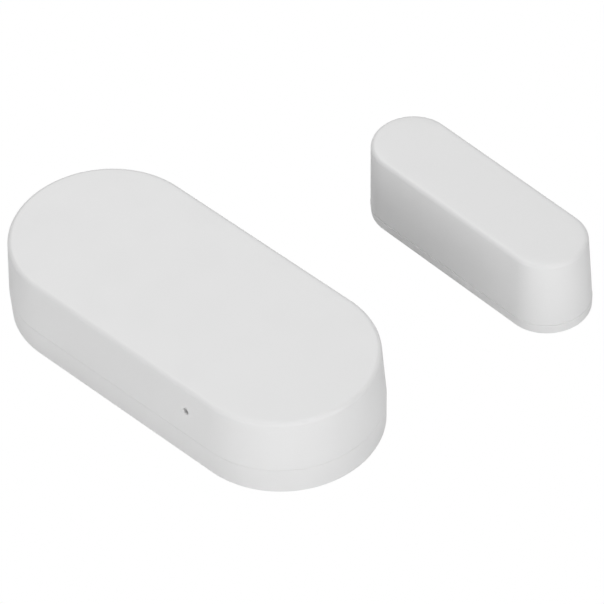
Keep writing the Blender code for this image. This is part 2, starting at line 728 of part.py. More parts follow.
def reed_switch(unit, glass, steel):
    """Glass tube with tapered ends and its two leads."""
    half, outer, bore = GLASS_LENGTH / 2, GLASS_DIAMETER / 2, GLASS_BORE / 2
    mouth, edge = GLASS_MOUTH / 2, GLASS_END_DIAMETER / 2
    profile = [
        (-half + GLASS_TAPER, bore),
        (-half, mouth),
        (-half, edge),
        (-half + GLASS_TAPER, outer),
        (half - GLASS_TAPER, outer),
        (half, edge),
        (half, mouth),
        (half - GLASS_TAPER, bore),
    ]
    centre = (REED_X, REED_Y, REED_Z)
    dress(turned("reed_glass", profile, centre, "x", FACETS, unit, closed=True), glass)
    reed_lead("reed_lead_a", -1, unit, steel)
    reed_lead("reed_lead_b", 1, unit, steel)


def radio_module(unit, laminate, steel, copper):
    """Small board with a shield can over its chips and a folded trace aerial at its outer end."""
    half = RADIO_WIDTH / 2
    top = RADIO_Z + RADIO_THICKNESS
    board = box("radio_board", (RADIO_X, -half, RADIO_Z), (RADIO_X + RADIO_LENGTH, half, top), unit)
    dress(board, laminate)
    centre = (RADIO_X + SHIELD_MARGIN + SHIELD_LENGTH / 2, 0)
    outer = (SHIELD_LENGTH / 2, SHIELD_WIDTH / 2, SHIELD_RADIUS)
    inner = (outer[0] - SHIELD_SHEET, outer[1] - SHIELD_SHEET, SHIELD_RADIUS - SHIELD_SHEET)
    bottom = top + SOLDER
    lid = bottom + SHIELD_HEIGHT
    rings = [
        rounded_rectangle(centre, *inner, lid - SHIELD_SHEET),
        rounded_rectangle(centre, *inner, bottom),
        rounded_rectangle(centre, *outer, bottom),
        rounded_rectangle(centre, *outer, lid - SHIELD_SHEET),
        rounded_rectangle(centre, outer[0] - SHIELD_SHEET, outer[1] - SHIELD_SHEET, SHIELD_RADIUS / 2, lid),
    ]
    dress(loft("radio_shield", rings, unit), steel)
    near = centre[0] + SHIELD_LENGTH / 2 + CLEARANCE + TRACE_WIDTH / 2
    path = []
    for run in range(TRACE_RUNS):
        y = TRACE_PITCH * (run - (TRACE_RUNS - 1) / 2)
        ends = (near, near + TRACE_REACH) if run % 2 == 0 else (near + TRACE_REACH, near)
        path += [(ends[0], y), (ends[1], y)]
    outline = ribbon(path, TRACE_WIDTH)
    dress(prism("radio_antenna", outline, bottom, bottom + TRACE_THICKNESS, unit), copper)


def small_parts(unit, black, pale, tan, steel):
    """Light-emitting diode, regulator, capacitors and resistors on the board."""
    z = BOARD_TOP + SOLDER
    row = (BOARD_HALF + TONGUE_Y) / 2
    dress(chip("status_led", PINHOLE_X + LED_FROM_SWITCH, -row, z, LED_SIZE, unit), pale)
    dress(chip("voltage_regulator", BOARD_X, row, z, REGULATOR_SIZE, unit), black)
    beside_head = BOARD_X + SCREW_X - SCREW_HEAD_DIAMETER / 2 - CHIP_SIZE[0] / 2 - CLEARANCE
    past_head = BOARD_X + SCREW_X + SCREW_HEAD_DIAMETER / 2 + CHIP_SIZE[0] / 2 + CLEARANCE
    near_radio = RADIO_WIDTH / 2 + CHIP_SIZE[1] / 2 + 2 * CLEARANCE
    dress(chip("resistor_1", beside_head, -near_radio - CHIP_SIZE[1], z, CHIP_SIZE, unit), black)
    dress(chip("resistor_2", beside_head, near_radio + CHIP_SIZE[1], z, CHIP_SIZE, unit), black)
    dress(chip("resistor_3", BOARD_X, -row, z, CHIP_SIZE, unit), black)
    dress(chip("ceramic_capacitor_1", past_head, -near_radio, z, CHIP_SIZE, unit), tan)
    dress(chip("ceramic_capacitor_2", past_head, near_radio, z, CHIP_SIZE, unit), tan)
    radius = CAPACITOR_DIAMETER / 2
    top = BOARD_BOTTOM - SOLDER
    groove = top - CAPACITOR_NECK
    end = top - CAPACITOR_HEIGHT
    profile = [
        (top, radius),
        (groove, radius),
        (groove - CAPACITOR_GROOVE, radius - CAPACITOR_GROOVE),
        (groove - 2 * CAPACITOR_GROOVE, radius),
        (end + CAPACITOR_GROOVE, radius),
        (end, radius - CAPACITOR_GROOVE),
    ]
    dress(turned("bulk_capacitor", profile, (BOARD_X + CAPACITOR_X, 0, 0), "z", FACETS, unit), steel)


def magnet_case(unit, plastic, foam, dark):
    """Cover, base with its cradle, adhesive pad and bar of the magnet unit."""
    cover = dress(cover_shell("magnet_cover", MAGNET, unit), plastic)
    base = dress(base_shell("magnet_base", MAGNET, unit), plastic)
    dress(adhesive_pad("magnet_adhesive_pad", MAGNET, unit), foam)
    snaps("magnet", cover, base, MAGNET, MAGNET_BEAD_X, MAGNET_BEAD_LENGTH, unit)
    pry_notch("magnet", cover, MAGNET, 0, unit)
    half_x = BAR_SIZE[0] / 2 + CLEARANCE
    half_y = BAR_SIZE[1] / 2 + CLEARANCE
    wall_x, wall_y = half_x + CRADLE_WALL, half_y + CRADLE_WALL
    seat = BAR_BOTTOM - CLEARANCE
    floor = PAD_PROUD + MAGNET.floor
    rim = BAR_BOTTOM + CRADLE_CHEEK
    join(base, box("cradle", (-wall_x, -wall_y, floor - EMBED), (wall_x, wall_y, rim), unit))
    cut(base, box("pocket", (-half_x, -half_y, seat), (half_x, half_y, rim + PAST), unit))
    leg = wall_x - CRADLE_LEG
    bridge_low = (-leg, -wall_y - PAST, MAGNET.lip_top + CLEARANCE)
    bridge_high = (leg, wall_y + PAST, seat - CRADLE_SHELF)
    cut(base, box("bridge", bridge_low, bridge_high, unit))
    dress(chip("magnet_bar", 0, 0, BAR_BOTTOM, BAR_SIZE, unit), dark)


def main():
    """Build both units."""
    clear_scene()
    plastic = material("white_plastic", (0.80, 0.80, 0.79), 0.45)
    inner = material("frame_plastic", (0.12, 0.12, 0.13), 0.55)
    foam = material("foam_tape", (0.62, 0.63, 0.62), 0.90)
    wrap = material("cell_wrap", (0.10, 0.22, 0.34), 0.35)
    steel = material("plated_steel", (0.66, 0.65, 0.62), 0.30, 1.0)
    laminate = material("board_green", (0.02, 0.16, 0.07), 0.45)
    black = material("chip_black", (0.03, 0.03, 0.03), 0.50)
    pale = material("pale_plastic", (0.75, 0.72, 0.62), 0.40)
    tan = material("ceramic_tan", (0.48, 0.33, 0.20), 0.50)
    copper = material("bare_copper", (0.72, 0.42, 0.24), 0.35, 1.0)
    glass = material("reed_glass_green", (0.30, 0.50, 0.36), 0.10)
    dark = material("magnet_nickel", (0.45, 0.45, 0.46), 0.30, 1.0)

    sensor = empty("sensor_unit")
    sensor_case(sensor, plastic, foam)
    battery_tray(sensor, inner)
    cell("battery_1", CELL_1_X, -CELL_Y, 1, sensor, wrap)
    cell("battery_2", CELL_2_X, CELL_Y, -1, sensor, wrap)
    contacts(sensor, steel)
    circuit_board(sensor, laminate, steel)
    setup_switch(sensor, black, pale)
    reed_switch(sensor, glass, steel)
    radio_module(sensor, laminate, steel, copper)
    small_parts(sensor, black, pale, tan, steel)

    magnet = empty("magnet_unit", (MAGNET_X, MAGNET_Y, 0), MAGNET_YAW)
    magnet_case(magnet, plastic, foam, dark)


main()
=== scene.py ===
"""Door contact sensor: the looks of its two moulded units and of everything inside them.

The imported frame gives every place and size. Each sub-assembly is a class that builds its
surfaces as arrays of points and dresses them, and each finish is a small frozen class.
Metres, +Z up, the sensor unit along X and the magnet unit on its +Y side.
"""

import logging
import math
from dataclasses import dataclass, field
from enum import Enum

import bpy
import numpy as np
from mathutils import Matrix, Vector


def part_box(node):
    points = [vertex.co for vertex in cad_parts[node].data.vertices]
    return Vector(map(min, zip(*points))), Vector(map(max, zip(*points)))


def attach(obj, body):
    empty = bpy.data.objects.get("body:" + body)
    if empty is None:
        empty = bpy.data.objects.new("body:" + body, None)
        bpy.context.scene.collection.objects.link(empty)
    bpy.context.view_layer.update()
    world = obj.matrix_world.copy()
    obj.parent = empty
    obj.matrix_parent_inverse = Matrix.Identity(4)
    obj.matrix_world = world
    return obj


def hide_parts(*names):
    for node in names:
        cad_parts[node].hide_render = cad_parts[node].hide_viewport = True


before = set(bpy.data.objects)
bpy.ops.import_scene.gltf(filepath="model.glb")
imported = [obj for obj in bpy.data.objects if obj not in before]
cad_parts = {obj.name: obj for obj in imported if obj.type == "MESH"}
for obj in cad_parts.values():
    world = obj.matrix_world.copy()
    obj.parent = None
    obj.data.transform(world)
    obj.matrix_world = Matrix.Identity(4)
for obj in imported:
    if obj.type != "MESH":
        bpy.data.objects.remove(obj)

Array = np.ndarray
Piece = bpy.types.Object
Material = bpy.types.Material
Nodes = bpy.types.NodeTree
Socket = bpy.types.NodeSocket

LOG = logging.getLogger("contact_sensor")
MM = 0.001  # one millimetre, in metres
HALF_TURN = math.pi
TURN = 2 * math.pi
SHARP_ANGLE = math.radians(40)


class Axis(Enum):
    """Direction that a turned piece or an extrusion runs in."""

    X = (0, 1, 2)
    Y = (1, 2, 0)
    Z = (2, 0, 1)


class Blend(Enum):
    """What a carving tool does to its host."""

    TAKE = "DIFFERENCE"
    ADD = "UNION"


@dataclass(frozen=True)
class Place:
    """Where a unit's own frame lies: a turn about Z, then a move."""

    x: float = 0.0
    y: float = 0.0
    z: float = 0.0
    yaw: float = 0.0

    def apply(self, points: Array) -> Array:
        """Turn points about Z, then move them.

        Args:
            points: Points of shape (n, 3) in the unit's own frame.

        Returns:
            The same points in the frame of the whole object.
        """
        cos, sin = math.cos(self.yaw), math.sin(self.yaw)
        turn = np.array([[cos, sin, 0.0], [-sin, cos, 0.0], [0.0, 0.0, 1.0]])
        return points @ turn + np.array([self.x, self.y, self.z])


HOME = Place()


# ---------------------------------------------------------------- surfaces


def mesh_piece(name: str, points: Array, faces: list[list[int]], place: Place = HOME) -> Piece:
    """Object whose mesh has the given points and faces, smooth but for its sharp edges.

    Args:
        name: Name of the piece.
        points: Points of shape (n, 3).
        faces: Corner indices of each face.
        place: Where the unit lies that the points belong to.

    Returns:
        The new object, at the origin, with its place in its mesh.
    """
    mesh = bpy.data.meshes.new(name)
    mesh.from_pydata(place.apply(points).tolist(), [], faces)
    mesh.validate()
    mesh.shade_smooth()
    mesh.set_sharp_from_angle(angle=SHARP_ANGLE)
    piece = bpy.data.objects.new(name, mesh)
    bpy.context.scene.collection.objects.link(piece)
    return piece


def signed_volume(points: Array, quads: Array, caps: list[Array]) -> float:
    """Volume inside a closed surface, negative when its faces point inwards.

    Each face is split into triangles, and each triangle adds the volume of the tetrahedron
    that it makes with the origin.

    Args:
        points: Points of shape (n, 3).
        quads: Corner indices of shape (n, 4).
        caps: Corner indices of each end face.

    Returns:
        The volume in cubic metres.
    """
    fans = [quads[:, [0, 1, 2]], quads[:, [0, 2, 3]]]
    for cap in caps:
        first = np.full(len(cap) - 2, cap[0])
        fans.append(np.stack([first, cap[1:-1], cap[2:]], axis=1))
    corners = points[np.concatenate(fans)]
    return float(np.einsum("ij,ij->", corners[:, 0], np.cross(corners[:, 1], corners[:, 2]))) / 6


def skin(name: str, rings: Array, place: Place = HOME, closed: bool = False) -> Piece:
    """Closed surface through a stack of rings.

    Point (i, j) of the grid is joined to point (i + 1, j) of the next ring and to its
    neighbour (i, j + 1), and the last point of a ring is joined to its first. The end rings
    are filled, or joined to each other when the stack closes on itself as a tube wall does.

    Args:
        name: Name of the piece.
        rings: Points of shape (rings, points in a ring, 3).
        place: Where the unit lies that the points belong to.
        closed: Whether the last ring joins the first.

    Returns:
        The new object.
    """
    rows, columns = rings.shape[:2]
    index = np.arange(rows * columns).reshape(rows, columns)
    low = index if closed else index[:-1]
    high = np.roll(index, -1, axis=0) if closed else index[1:]
    quads = np.stack([low, np.roll(low, -1, 1), np.roll(high, -1, 1), high], axis=-1).reshape(-1, 4)
    caps = [] if closed else [index[0, ::-1], index[-1]]
    points = rings.reshape(-1, 3)
    faces = [*quads.tolist(), *(cap.tolist() for cap in caps)]
    if signed_volume(points, quads, caps) < 0:
        faces = [face[::-1] for face in faces]
    return mesh_piece(name, points, faces, place)


def rounded(corners: Array, radii: Array | float, steps: int = 5, closed: bool = False) -> Array:
    """Path with each corner replaced by an arc that touches both of its sides.

    With unit vectors a and b from the corner to its neighbours, half the corner's angle h,
    and radius r, the arc's centre lies r / sin(h) along a + b, and its points turn evenly
    from the foot on one side to the foot on the other.

    Args:
        corners: Corner points of shape (n, 2).
        radii: Radius of each corner, or one radius for all.
        steps: Points in each arc.
        closed: Whether the last corner joins the first; an open path keeps its two ends.

    Returns:
        Points of shape (m, 2).
    """
    corners = np.asarray(corners, float)
    radii = np.broadcast_to(np.asarray(radii, float), len(corners))
    inner = slice(None) if closed else slice(1, -1)
    middle, radius = corners[inner], radii[inner][:, None]
    before = np.roll(corners, 1, 0)[inner] - middle
    after = np.roll(corners, -1, 0)[inner] - middle
    before /= np.linalg.norm(before, axis=1, keepdims=True)
    after /= np.linalg.norm(after, axis=1, keepdims=True)
    half = np.arccos(np.clip((before * after).sum(1, keepdims=True), -1, 1)) / 2
    reach = radius / np.tan(half)
    between = before + after
    centre = middle + between / np.linalg.norm(between, axis=1, keepdims=True) * radius / np.sin(half)
    start, end = middle + before * reach - centre, middle + after * reach - centre
    sweep = HALF_TURN - 2 * half[:, :, None]
    share = np.linspace(0, 1, steps)[None, :, None]
    near = np.sin((1 - share) * sweep) / np.sin(sweep)
    far = np.sin(share * sweep) / np.sin(sweep)
    arcs = centre[:, None] + near * start[:, None] + far * end[:, None]
    path = arcs.reshape(-1, 2)
    return path if closed else np.concatenate([corners[:1], path, corners[-1:]])


def stadium_rings(length: float, width: float, profile: Array, steps: int = 72) -> Array:
    """Rings of a stadium outline, two half circles with straight sides, one for each level.

    At a level (inset, z) the ring is the outline moved in by the inset: a point at angle t
    lies at the nearer end's centre plus (width / 2 - inset) times (cos t, sin t).

    Args:
        length: Overall length of the outline along X.
        width: Overall width along Y.
        profile: Levels of shape (m, 2), each an inset and a height.
        steps: Flats round each half circle.

    Returns:
        Points of shape (m, 2 * steps + 2, 3).
    """
    half = np.linspace(-HALF_TURN / 2, HALF_TURN / 2, steps + 1)
    angle = np.concatenate([half, half + HALF_TURN])
    centre = np.repeat([1.0, -1.0], steps + 1) * (length - width) / 2
    radius = width / 2 - profile[:, :1]
    x = centre + radius * np.cos(angle)
    y = radius * np.sin(angle)
    z = np.broadcast_to(profile[:, 1:], x.shape)
    return np.stack([x, y, z], axis=-1)


def block_rings(size: tuple[float, float], corner: float, profile: Array, steps: int = 6) -> Array:
    """Rings of a rounded rectangle about the origin, one for each level (inset, z).

    Each corner is a quarter circle whose radius shrinks with the inset but stays above zero.

    Args:
        size: Outer size along X and Y.
        corner: Radius of the corners at no inset.
        profile: Levels of shape (m, 2).
        steps: Flats in each corner.

    Returns:
        Points of shape (m, 4 * steps + 4, 3).
    """
    quarter = np.linspace(0, HALF_TURN / 2, steps + 1)
    angle = np.concatenate([quarter + HALF_TURN / 2 * turn for turn in range(4)])
    side_x = np.repeat([1.0, -1.0, -1.0, 1.0], steps + 1)
    side_y = np.repeat([1.0, 1.0, -1.0, -1.0], steps + 1)
    inset = profile[:, :1]
    radius = np.maximum(corner - inset, 0.00001)
    x = side_x * (size[0] / 2 - inset - radius) + radius * np.cos(angle)
    y = side_y * (size[1] / 2 - inset - radius) + radius * np.sin(angle)
    z = np.broadcast_to(profile[:, 1:], x.shape)
    return np.stack([x, y, z], axis=-1)


def slab_profile(low: float, high: float, edge: float, steps: int = 4) -> Array:
    """Levels (inset, z) of a slab between two heights whose upper and lower edges are rounded."""
    corners = [(edge * 2, low), (0, low), (0, high), (edge * 2, high)]
    return rounded(np.array(corners), edge, steps)


def block(name: str, low: Array, high: Array, edge: float, corner: float = 0.0, place: Place = HOME) -> Piece:
    """Block between two corners with every edge rounded.

    Args:
        name: Name of the piece.
        low: Lowest corner.
        high: Highest corner.
        edge: Radius of the upper and lower edges.
        corner: Radius of the upright edges, at least that of the others.
        place: Where the unit lies that the corners belong to.

    Returns:
        The new object.
    """
    size = (high[0] - low[0], high[1] - low[1])
    rings = block_rings(size, max(edge, corner), slab_profile(low[2], high[2], edge))
    return skin(name, rings + np.array([(low[0] + high[0]) / 2, (low[1] + high[1]) / 2, 0]), place)


def turned_rings(profile: Array, axis: Axis, steps: int = 64) -> Array:
    """Rings of a solid of revolution about an axis through the origin.

    A level (far, radius) becomes the circle of that radius, that far along the axis.

    Args:
        profile: Levels of shape (m, 2).
        axis: Direction of the axis.
        steps: Points round each circle.

    Returns:
        Points of shape (m, steps, 3).
    """
    angle = np.arange(steps) * TURN / steps
    rings = np.empty((len(profile), steps, 3))
    along, side, other = axis.value
    rings[..., along] = profile[:, :1]
    rings[..., side] = profile[:, 1:] * np.cos(angle)
    rings[..., other] = profile[:, 1:] * np.sin(angle)
    return rings


def turned(
    name: str, profile: Array, axis: Axis, place: Place, steps: int = 64, closed: bool = False
) -> Piece:
    """Solid of revolution with its axis through a place.

    Args:
        name: Name of the piece.
        profile: Levels (far along the axis, radius).
        axis: Direction of the axis.
        place: Point on the axis that distances start from.
        steps: Points round each circle.
        closed: Whether the profile is a closed loop, as a tube wall's is.

    Returns:
        The new object.
    """
    return skin(name, turned_rings(np.asarray(profile, float), axis, steps), place, closed)


def upright(rings: Array, axis: Axis) -> Array:
    """Rings stacked along Z, turned so that they stack along another axis."""
    turned_over = np.empty_like(rings)
    along, side, other = axis.value
    turned_over[..., along] = rings[..., 2]
    turned_over[..., side] = rings[..., 0]
    turned_over[..., other] = rings[..., 1]
    return turned_over


def ribbon(points: Array, width: float, low: float, high: float) -> Array:
    """Rings of a flat strip of even width: a rectangle carried along a path in a level plane.

    At each path point the rectangle's sides lie half the width away along the mitre between
    the normals of its two stretches, lengthened by one over the cosine between them.

    Args:
        points: Path of shape (n, 2).
        width: Width of the strip.
        low: Height of its underside.
        high: Height of its top.

    Returns:
        Points of shape (n, 4, 3).
    """
    path = np.asarray(points, float)
    step = np.diff(path, axis=0)
    step /= np.linalg.norm(step, axis=1, keepdims=True)
    before = np.concatenate([step[:1], step])
    after = np.concatenate([step, step[-1:]])
    mitre = before + after
    mitre /= np.linalg.norm(mitre, axis=1, keepdims=True)
    reach = width / 2 / (mitre * before).sum(1, keepdims=True)
    side = np.stack([-mitre[:, 1], mitre[:, 0]], axis=1) * reach
    rings = np.empty((len(path), 4, 3))
    rings[:, :2, :2] = (path + side)[:, None]
    rings[:, 2:, :2] = (path - side)[:, None]
    rings[..., 2] = np.array([low, high, high, low])
    return rings


def merge(name: str, pieces: list[Piece]) -> Piece:
    """One piece made of several closed shapes of the same finish."""
    first = pieces[0]
    if len(pieces) > 1:
        with bpy.context.temp_override(active_object=first, selected_editable_objects=pieces):
            bpy.ops.object.join()
    first.name = name
    first.data.name = name
    return first


def carve(host: Piece, tools: list[Piece], how: Blend = Blend.TAKE) -> Piece:
    """Add the tools' shapes to the host or take them out, for good, and remove the tools."""
    for tool in tools:
        step = host.modifiers.new(tool.name, "BOOLEAN")
        step.operation = how.value
        step.solver = "EXACT"
        step.object = tool
    graph = bpy.context.evaluated_depsgraph_get()
    carved = bpy.data.meshes.new_from_object(host.evaluated_get(graph))
    host.modifiers.clear()
    host.data = carved
    for tool in tools:
        bpy.data.objects.remove(tool)
    return host


def even_shading(piece: Piece) -> Piece:
    """Weigh each corner's normal by face area, so that flat faces stay flat beside small rounds."""
    piece.data.shade_smooth()
    piece.data.set_sharp_from_angle(angle=SHARP_ANGLE)
    step = piece.modifiers.new("even_shading", "WEIGHTED_NORMAL")
    step.keep_sharp = True
    step.weight = 100
    graph = bpy.context.evaluated_depsgraph_get()
    shaded = bpy.data.meshes.new_from_object(piece.evaluated_get(graph))
    piece.modifiers.clear()
    piece.data = shaded
    return piece


def fit(piece: Piece, body: str, finish: Material, slot: str, *nodes: str) -> Piece:
    """Dress a finished piece, hang it on its body, and hide the frame nodes that it stands for.

    Args:
        piece: The finished object.
        body: Body that it moves with.
        finish: Its material.
        slot: Material slot of the record that the finish belongs to; not used.
        *nodes: Frame nodes that it stands for.

    Returns:
        The same object.
    """
    piece.data.materials.clear()
    piece.data.materials.append(finish)
    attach(piece, body)
    if nodes:
        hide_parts(*nodes)
    LOG.info("%s on %s: %d faces", piece.name, body, len(piece.data.polygons))
    return piece


# ---------------------------------------------------------------- shared shader groups


class Groups:
    """Shader effects that several finishes share; each is built once."""

    def __init__(self) -> None:
        """Build every group."""
        self.grain = self._grain()
        self.smudge = self._smudge()
        self.wear = self._wear()
        self.brush = self._brush()

    @staticmethod
    def _start(name: str, inputs: dict[str, float], outputs: list[str]) -> tuple[Nodes, Piece, Piece]:
        """Empty group with a vector input, float inputs and float outputs.

        Args:
            name: Name of the group.
            inputs: Default value of each float input.
            outputs: Name of each output.

        Returns:
            The group's tree, its input node and its output node.
        """
        tree = bpy.data.node_groups.new(name, "ShaderNodeTree")
        tree.interface.new_socket("Vector", in_out="INPUT", socket_type="NodeSocketVector")
        for label, value in inputs.items():
            socket = tree.interface.new_socket(label, in_out="INPUT", socket_type="NodeSocketFloat")
            socket.default_value = value
        for label in outputs:
            tree.interface.new_socket(label, in_out="OUTPUT", socket_type="NodeSocketFloat")
        return tree, tree.nodes.new("NodeGroupInput"), tree.nodes.new("NodeGroupOutput")

    @staticmethod
    def _maths(tree: Nodes, how: str, first: Socket | float, second: Socket | float) -> Socket:
        """Output of a Math node whose two inputs are sockets or numbers."""
        node = tree.nodes.new("ShaderNodeMath")
        node.operation = how
        for place, value in zip(node.inputs, (first, second)):
            if isinstance(value, (int, float)):
                place.default_value = value
            else:
                tree.links.new(value, place)
        return node.outputs[0]

    @staticmethod
    def _noise(tree: Nodes, vector: Socket, scale: Socket, detail: float) -> Socket:
        """Output of a Noise node read at a vector, with its scale from a socket."""
        node = tree.nodes.new("ShaderNodeTexNoise")
        node.inputs["Detail"].default_value = detail
        tree.links.new(vector, node.inputs["Vector"])
        tree.links.new(scale, node.inputs["Scale"])
        return node.outputs["Fac"]

    def _grain(self) -> Nodes:
        """Spark-eroded grain: fine noise with small round pits, as a height about zero."""
        tree, entry, leave = self._start("fine_grain", {"Scale": 5000.0}, ["Height", "Shade"])
        vector, scale = entry.outputs["Vector"], entry.outputs["Scale"]
        fine = self._noise(tree, vector, scale, 3.0)
        cells = tree.nodes.new("ShaderNodeTexVoronoi")
        tree.links.new(vector, cells.inputs["Vector"])
        tree.links.new(scale, cells.inputs["Scale"])
        pits = self._maths(tree, "MULTIPLY", cells.outputs["Distance"], 0.5)
        tree.links.new(self._maths(tree, "ADD", fine, pits), leave.inputs["Height"])
        tree.links.new(fine, leave.inputs["Shade"])
        return tree

    def _smudge(self) -> Nodes:
        """Broad faint patches from handling and dust, from 0 to 1."""
        tree, entry, leave = self._start("smudge", {"Scale": 120.0}, ["Mask"])
        broad = self._noise(tree, entry.outputs["Vector"], entry.outputs["Scale"], 2.0)
        step = tree.nodes.new("ShaderNodeMapRange")
        step.interpolation_type = "SMOOTHSTEP"
        step.inputs["From Min"].default_value = 0.38
        step.inputs["From Max"].default_value = 0.72
        tree.links.new(broad, step.inputs["Value"])
        tree.links.new(step.outputs[0], leave.inputs["Mask"])
        return tree

    def _wear(self) -> Nodes:
        """Mask of the outward edges, broken up by noise, where paint or plating rubs thin."""
        tree, entry, leave = self._start("edge_wear", {"Scale": 900.0, "Reach": 0.06}, ["Mask"])
        shape = tree.nodes.new("ShaderNodeNewGeometry")
        broken = self._noise(tree, entry.outputs["Vector"], entry.outputs["Scale"], 4.0)
        edge = self._maths(tree, "SUBTRACT", shape.outputs["Pointiness"], 0.5)
        ratio = self._maths(tree, "DIVIDE", edge, entry.outputs["Reach"])
        mask = tree.nodes.new("ShaderNodeMath")
        mask.operation = "MULTIPLY"
        mask.use_clamp = True
        tree.links.new(ratio, mask.inputs[0])
        tree.links.new(broken, mask.inputs[1])
        tree.links.new(mask.outputs[0], leave.inputs["Mask"])
        return tree

    def _brush(self) -> Nodes:
        """Fine parallel scratches: noise whose X axis is drawn out."""
        tree, entry, leave = self._start("brushed", {"Scale": 9000.0, "Stretch": 0.03}, ["Height"])
        combine = tree.nodes.new("ShaderNodeCombineXYZ")
        combine.inputs["Y"].default_value = 1.0
        combine.inputs["Z"].default_value = 1.0
        tree.links.new(entry.outputs["Stretch"], combine.inputs["X"])
        drawn = tree.nodes.new("ShaderNodeVectorMath")
        drawn.operation = "MULTIPLY"
        tree.links.new(entry.outputs["Vector"], drawn.inputs[0])
        tree.links.new(combine.outputs[0], drawn.inputs[1])
        fine = self._noise(tree, drawn.outputs[0], entry.outputs["Scale"], 2.0)
        tree.links.new(fine, leave.inputs["Height"])
        return tree


GROUPS = Groups()


# ---------------------------------------------------------------- finishes


class Paint:
    """A material being made: its tree, its Principled shader, and helpers that add nodes."""

    def __init__(self, name: str, **constants: float | tuple[float, ...]) -> None:
        """Start a material and set constants on its shader.

        Args:
            name: Name of the material.
            **constants: Shader socket names, with _ for a space, and their values.
        """
        self.material = bpy.data.materials.new(name)
        self.material.use_nodes = True
        self.tree = self.material.node_tree
        self.shader = self.tree.nodes["Principled BSDF"]
        for label, value in constants.items():
            self.shader.inputs[label.replace("_", " ")].default_value = value
        self.place = self.tree.nodes.new("ShaderNodeTexCoord").outputs["Object"]

    def feed(self, source: Socket | float | tuple[float, ...], target: Socket) -> None:
        """Link a socket to a target, or set the target's value."""
        if isinstance(source, bpy.types.NodeSocket):
            self.tree.links.new(source, target)
        else:
            target.default_value = source

    def group(self, tree: Nodes, vector: Socket | None = None, **inputs: float) -> bpy.types.Node:
        """Place a shared group.

        Args:
            tree: The group.
            vector: Where it is read, on Object coordinates unless given.
            **inputs: Values of its float inputs.

        Returns:
            The group's node.
        """
        node = self.tree.nodes.new("ShaderNodeGroup")
        node.node_tree = tree
        self.feed(vector or self.place, node.inputs["Vector"])
        for label, value in inputs.items():
            node.inputs[label].default_value = value
        return node

    def mix(self, share: Socket | float, first: Socket | tuple, second: Socket | tuple) -> Socket:
        """Colour between two colours.

        Args:
            share: 0 for the first colour, 1 for the second.
            first: Colour or colour socket.
            second: Colour or colour socket.

        Returns:
            The mixed colour.
        """
        node = self.tree.nodes.new("ShaderNodeMix")
        node.data_type = "RGBA"
        self.feed(share, node.inputs[0])
        self.feed((*first, 1.0) if isinstance(first, tuple) else first, node.inputs[6])
        self.feed((*second, 1.0) if isinstance(second, tuple) else second, node.inputs[7])
        return node.outputs[2]

    def maths(
        self, how: str, first: Socket | float, second: Socket | float = 0.0, clamp: bool = False
    ) -> Socket:
        """Output of a Math node.

        Args:
            how: Blender's name of the operation.
            first: Number or socket.
            second: Number or socket.
            clamp: Whether the result is kept between 0 and 1.

        Returns:
            The result.
        """
        node = self.tree.nodes.new("ShaderNodeMath")
        node.operation = how
        node.use_clamp = clamp
        self.feed(first, node.inputs[0])
        self.feed(second, node.inputs[1])
        return node.outputs[0]

    def ramp(self, value: Socket, low: float, high: float, out_low: float, out_high: float) -> Socket:
        """Value carried from one range to another, and kept inside it."""
        node = self.tree.nodes.new("ShaderNodeMapRange")
        self.feed(value, node.inputs["Value"])
        labels = ("From Min", "From Max", "To Min", "To Max")
        for label, number in zip(labels, (low, high, out_low, out_high)):
            node.inputs[label].default_value = number
        return node.outputs[0]

    def parts(self, vector: Socket) -> tuple[Socket, Socket, Socket]:
        """X, Y and Z of a vector."""
        node = self.tree.nodes.new("ShaderNodeSeparateXYZ")
        self.feed(vector, node.inputs[0])
        return node.outputs[0], node.outputs[1], node.outputs[2]

    def bump(self, height: Socket, depth: float) -> None:
        """Feed a height that spans 0 to 1, and this depth in metres, to the shader's normal."""
        node = self.tree.nodes.new("ShaderNodeBump")
        node.inputs["Distance"].default_value = depth
        self.feed(height, node.inputs["Height"])
        self.feed(node.outputs[0], self.shader.inputs["Normal"])

    def colour(self, source: Socket) -> None:
        """Feed the shader's base colour."""
        self.feed(source, self.shader.inputs["Base Color"])

    def roughness(self, source: Socket) -> None:
        """Feed the shader's roughness."""
        self.feed(source, self.shader.inputs["Roughness"])


@dataclass(frozen=True)
class Moulding:
    """Satin injection-moulded plastic with a fine eroded grain and faint handling marks."""

    name: str
    colour: tuple[float, float, float]
    roughness: float = 0.475
    grain: float = 5200.0
    depth: float = 0.000003
    tint: float = 0.03
    worn: float = 0.0
    patchy: float = 0.03

    def make(self) -> Material:
        """Build the material.

        Returns:
            The finished material.
        """
        paint = Paint(self.name, IOR=1.49)
        grain = paint.group(GROUPS.grain, Scale=self.grain)
        smudge = paint.group(GROUPS.smudge, Scale=140.0).outputs["Mask"]
        darker = tuple(value * (1 - self.tint) for value in self.colour)
        lighter = tuple(min(1.0, value * (1 + self.tint / 2) + self.worn) for value in self.colour)
        shade = paint.mix(grain.outputs["Shade"], self.colour, darker)
        if self.worn:
            wear = paint.group(GROUPS.wear, Scale=1500.0, Reach=0.05).outputs["Mask"]
            shade = paint.mix(wear, shade, lighter)
        paint.colour(shade)
        paint.roughness(paint.ramp(smudge, 0.0, 1.0, self.roughness, self.roughness + self.patchy))
        paint.bump(grain.outputs["Height"], self.depth)
        return paint.material


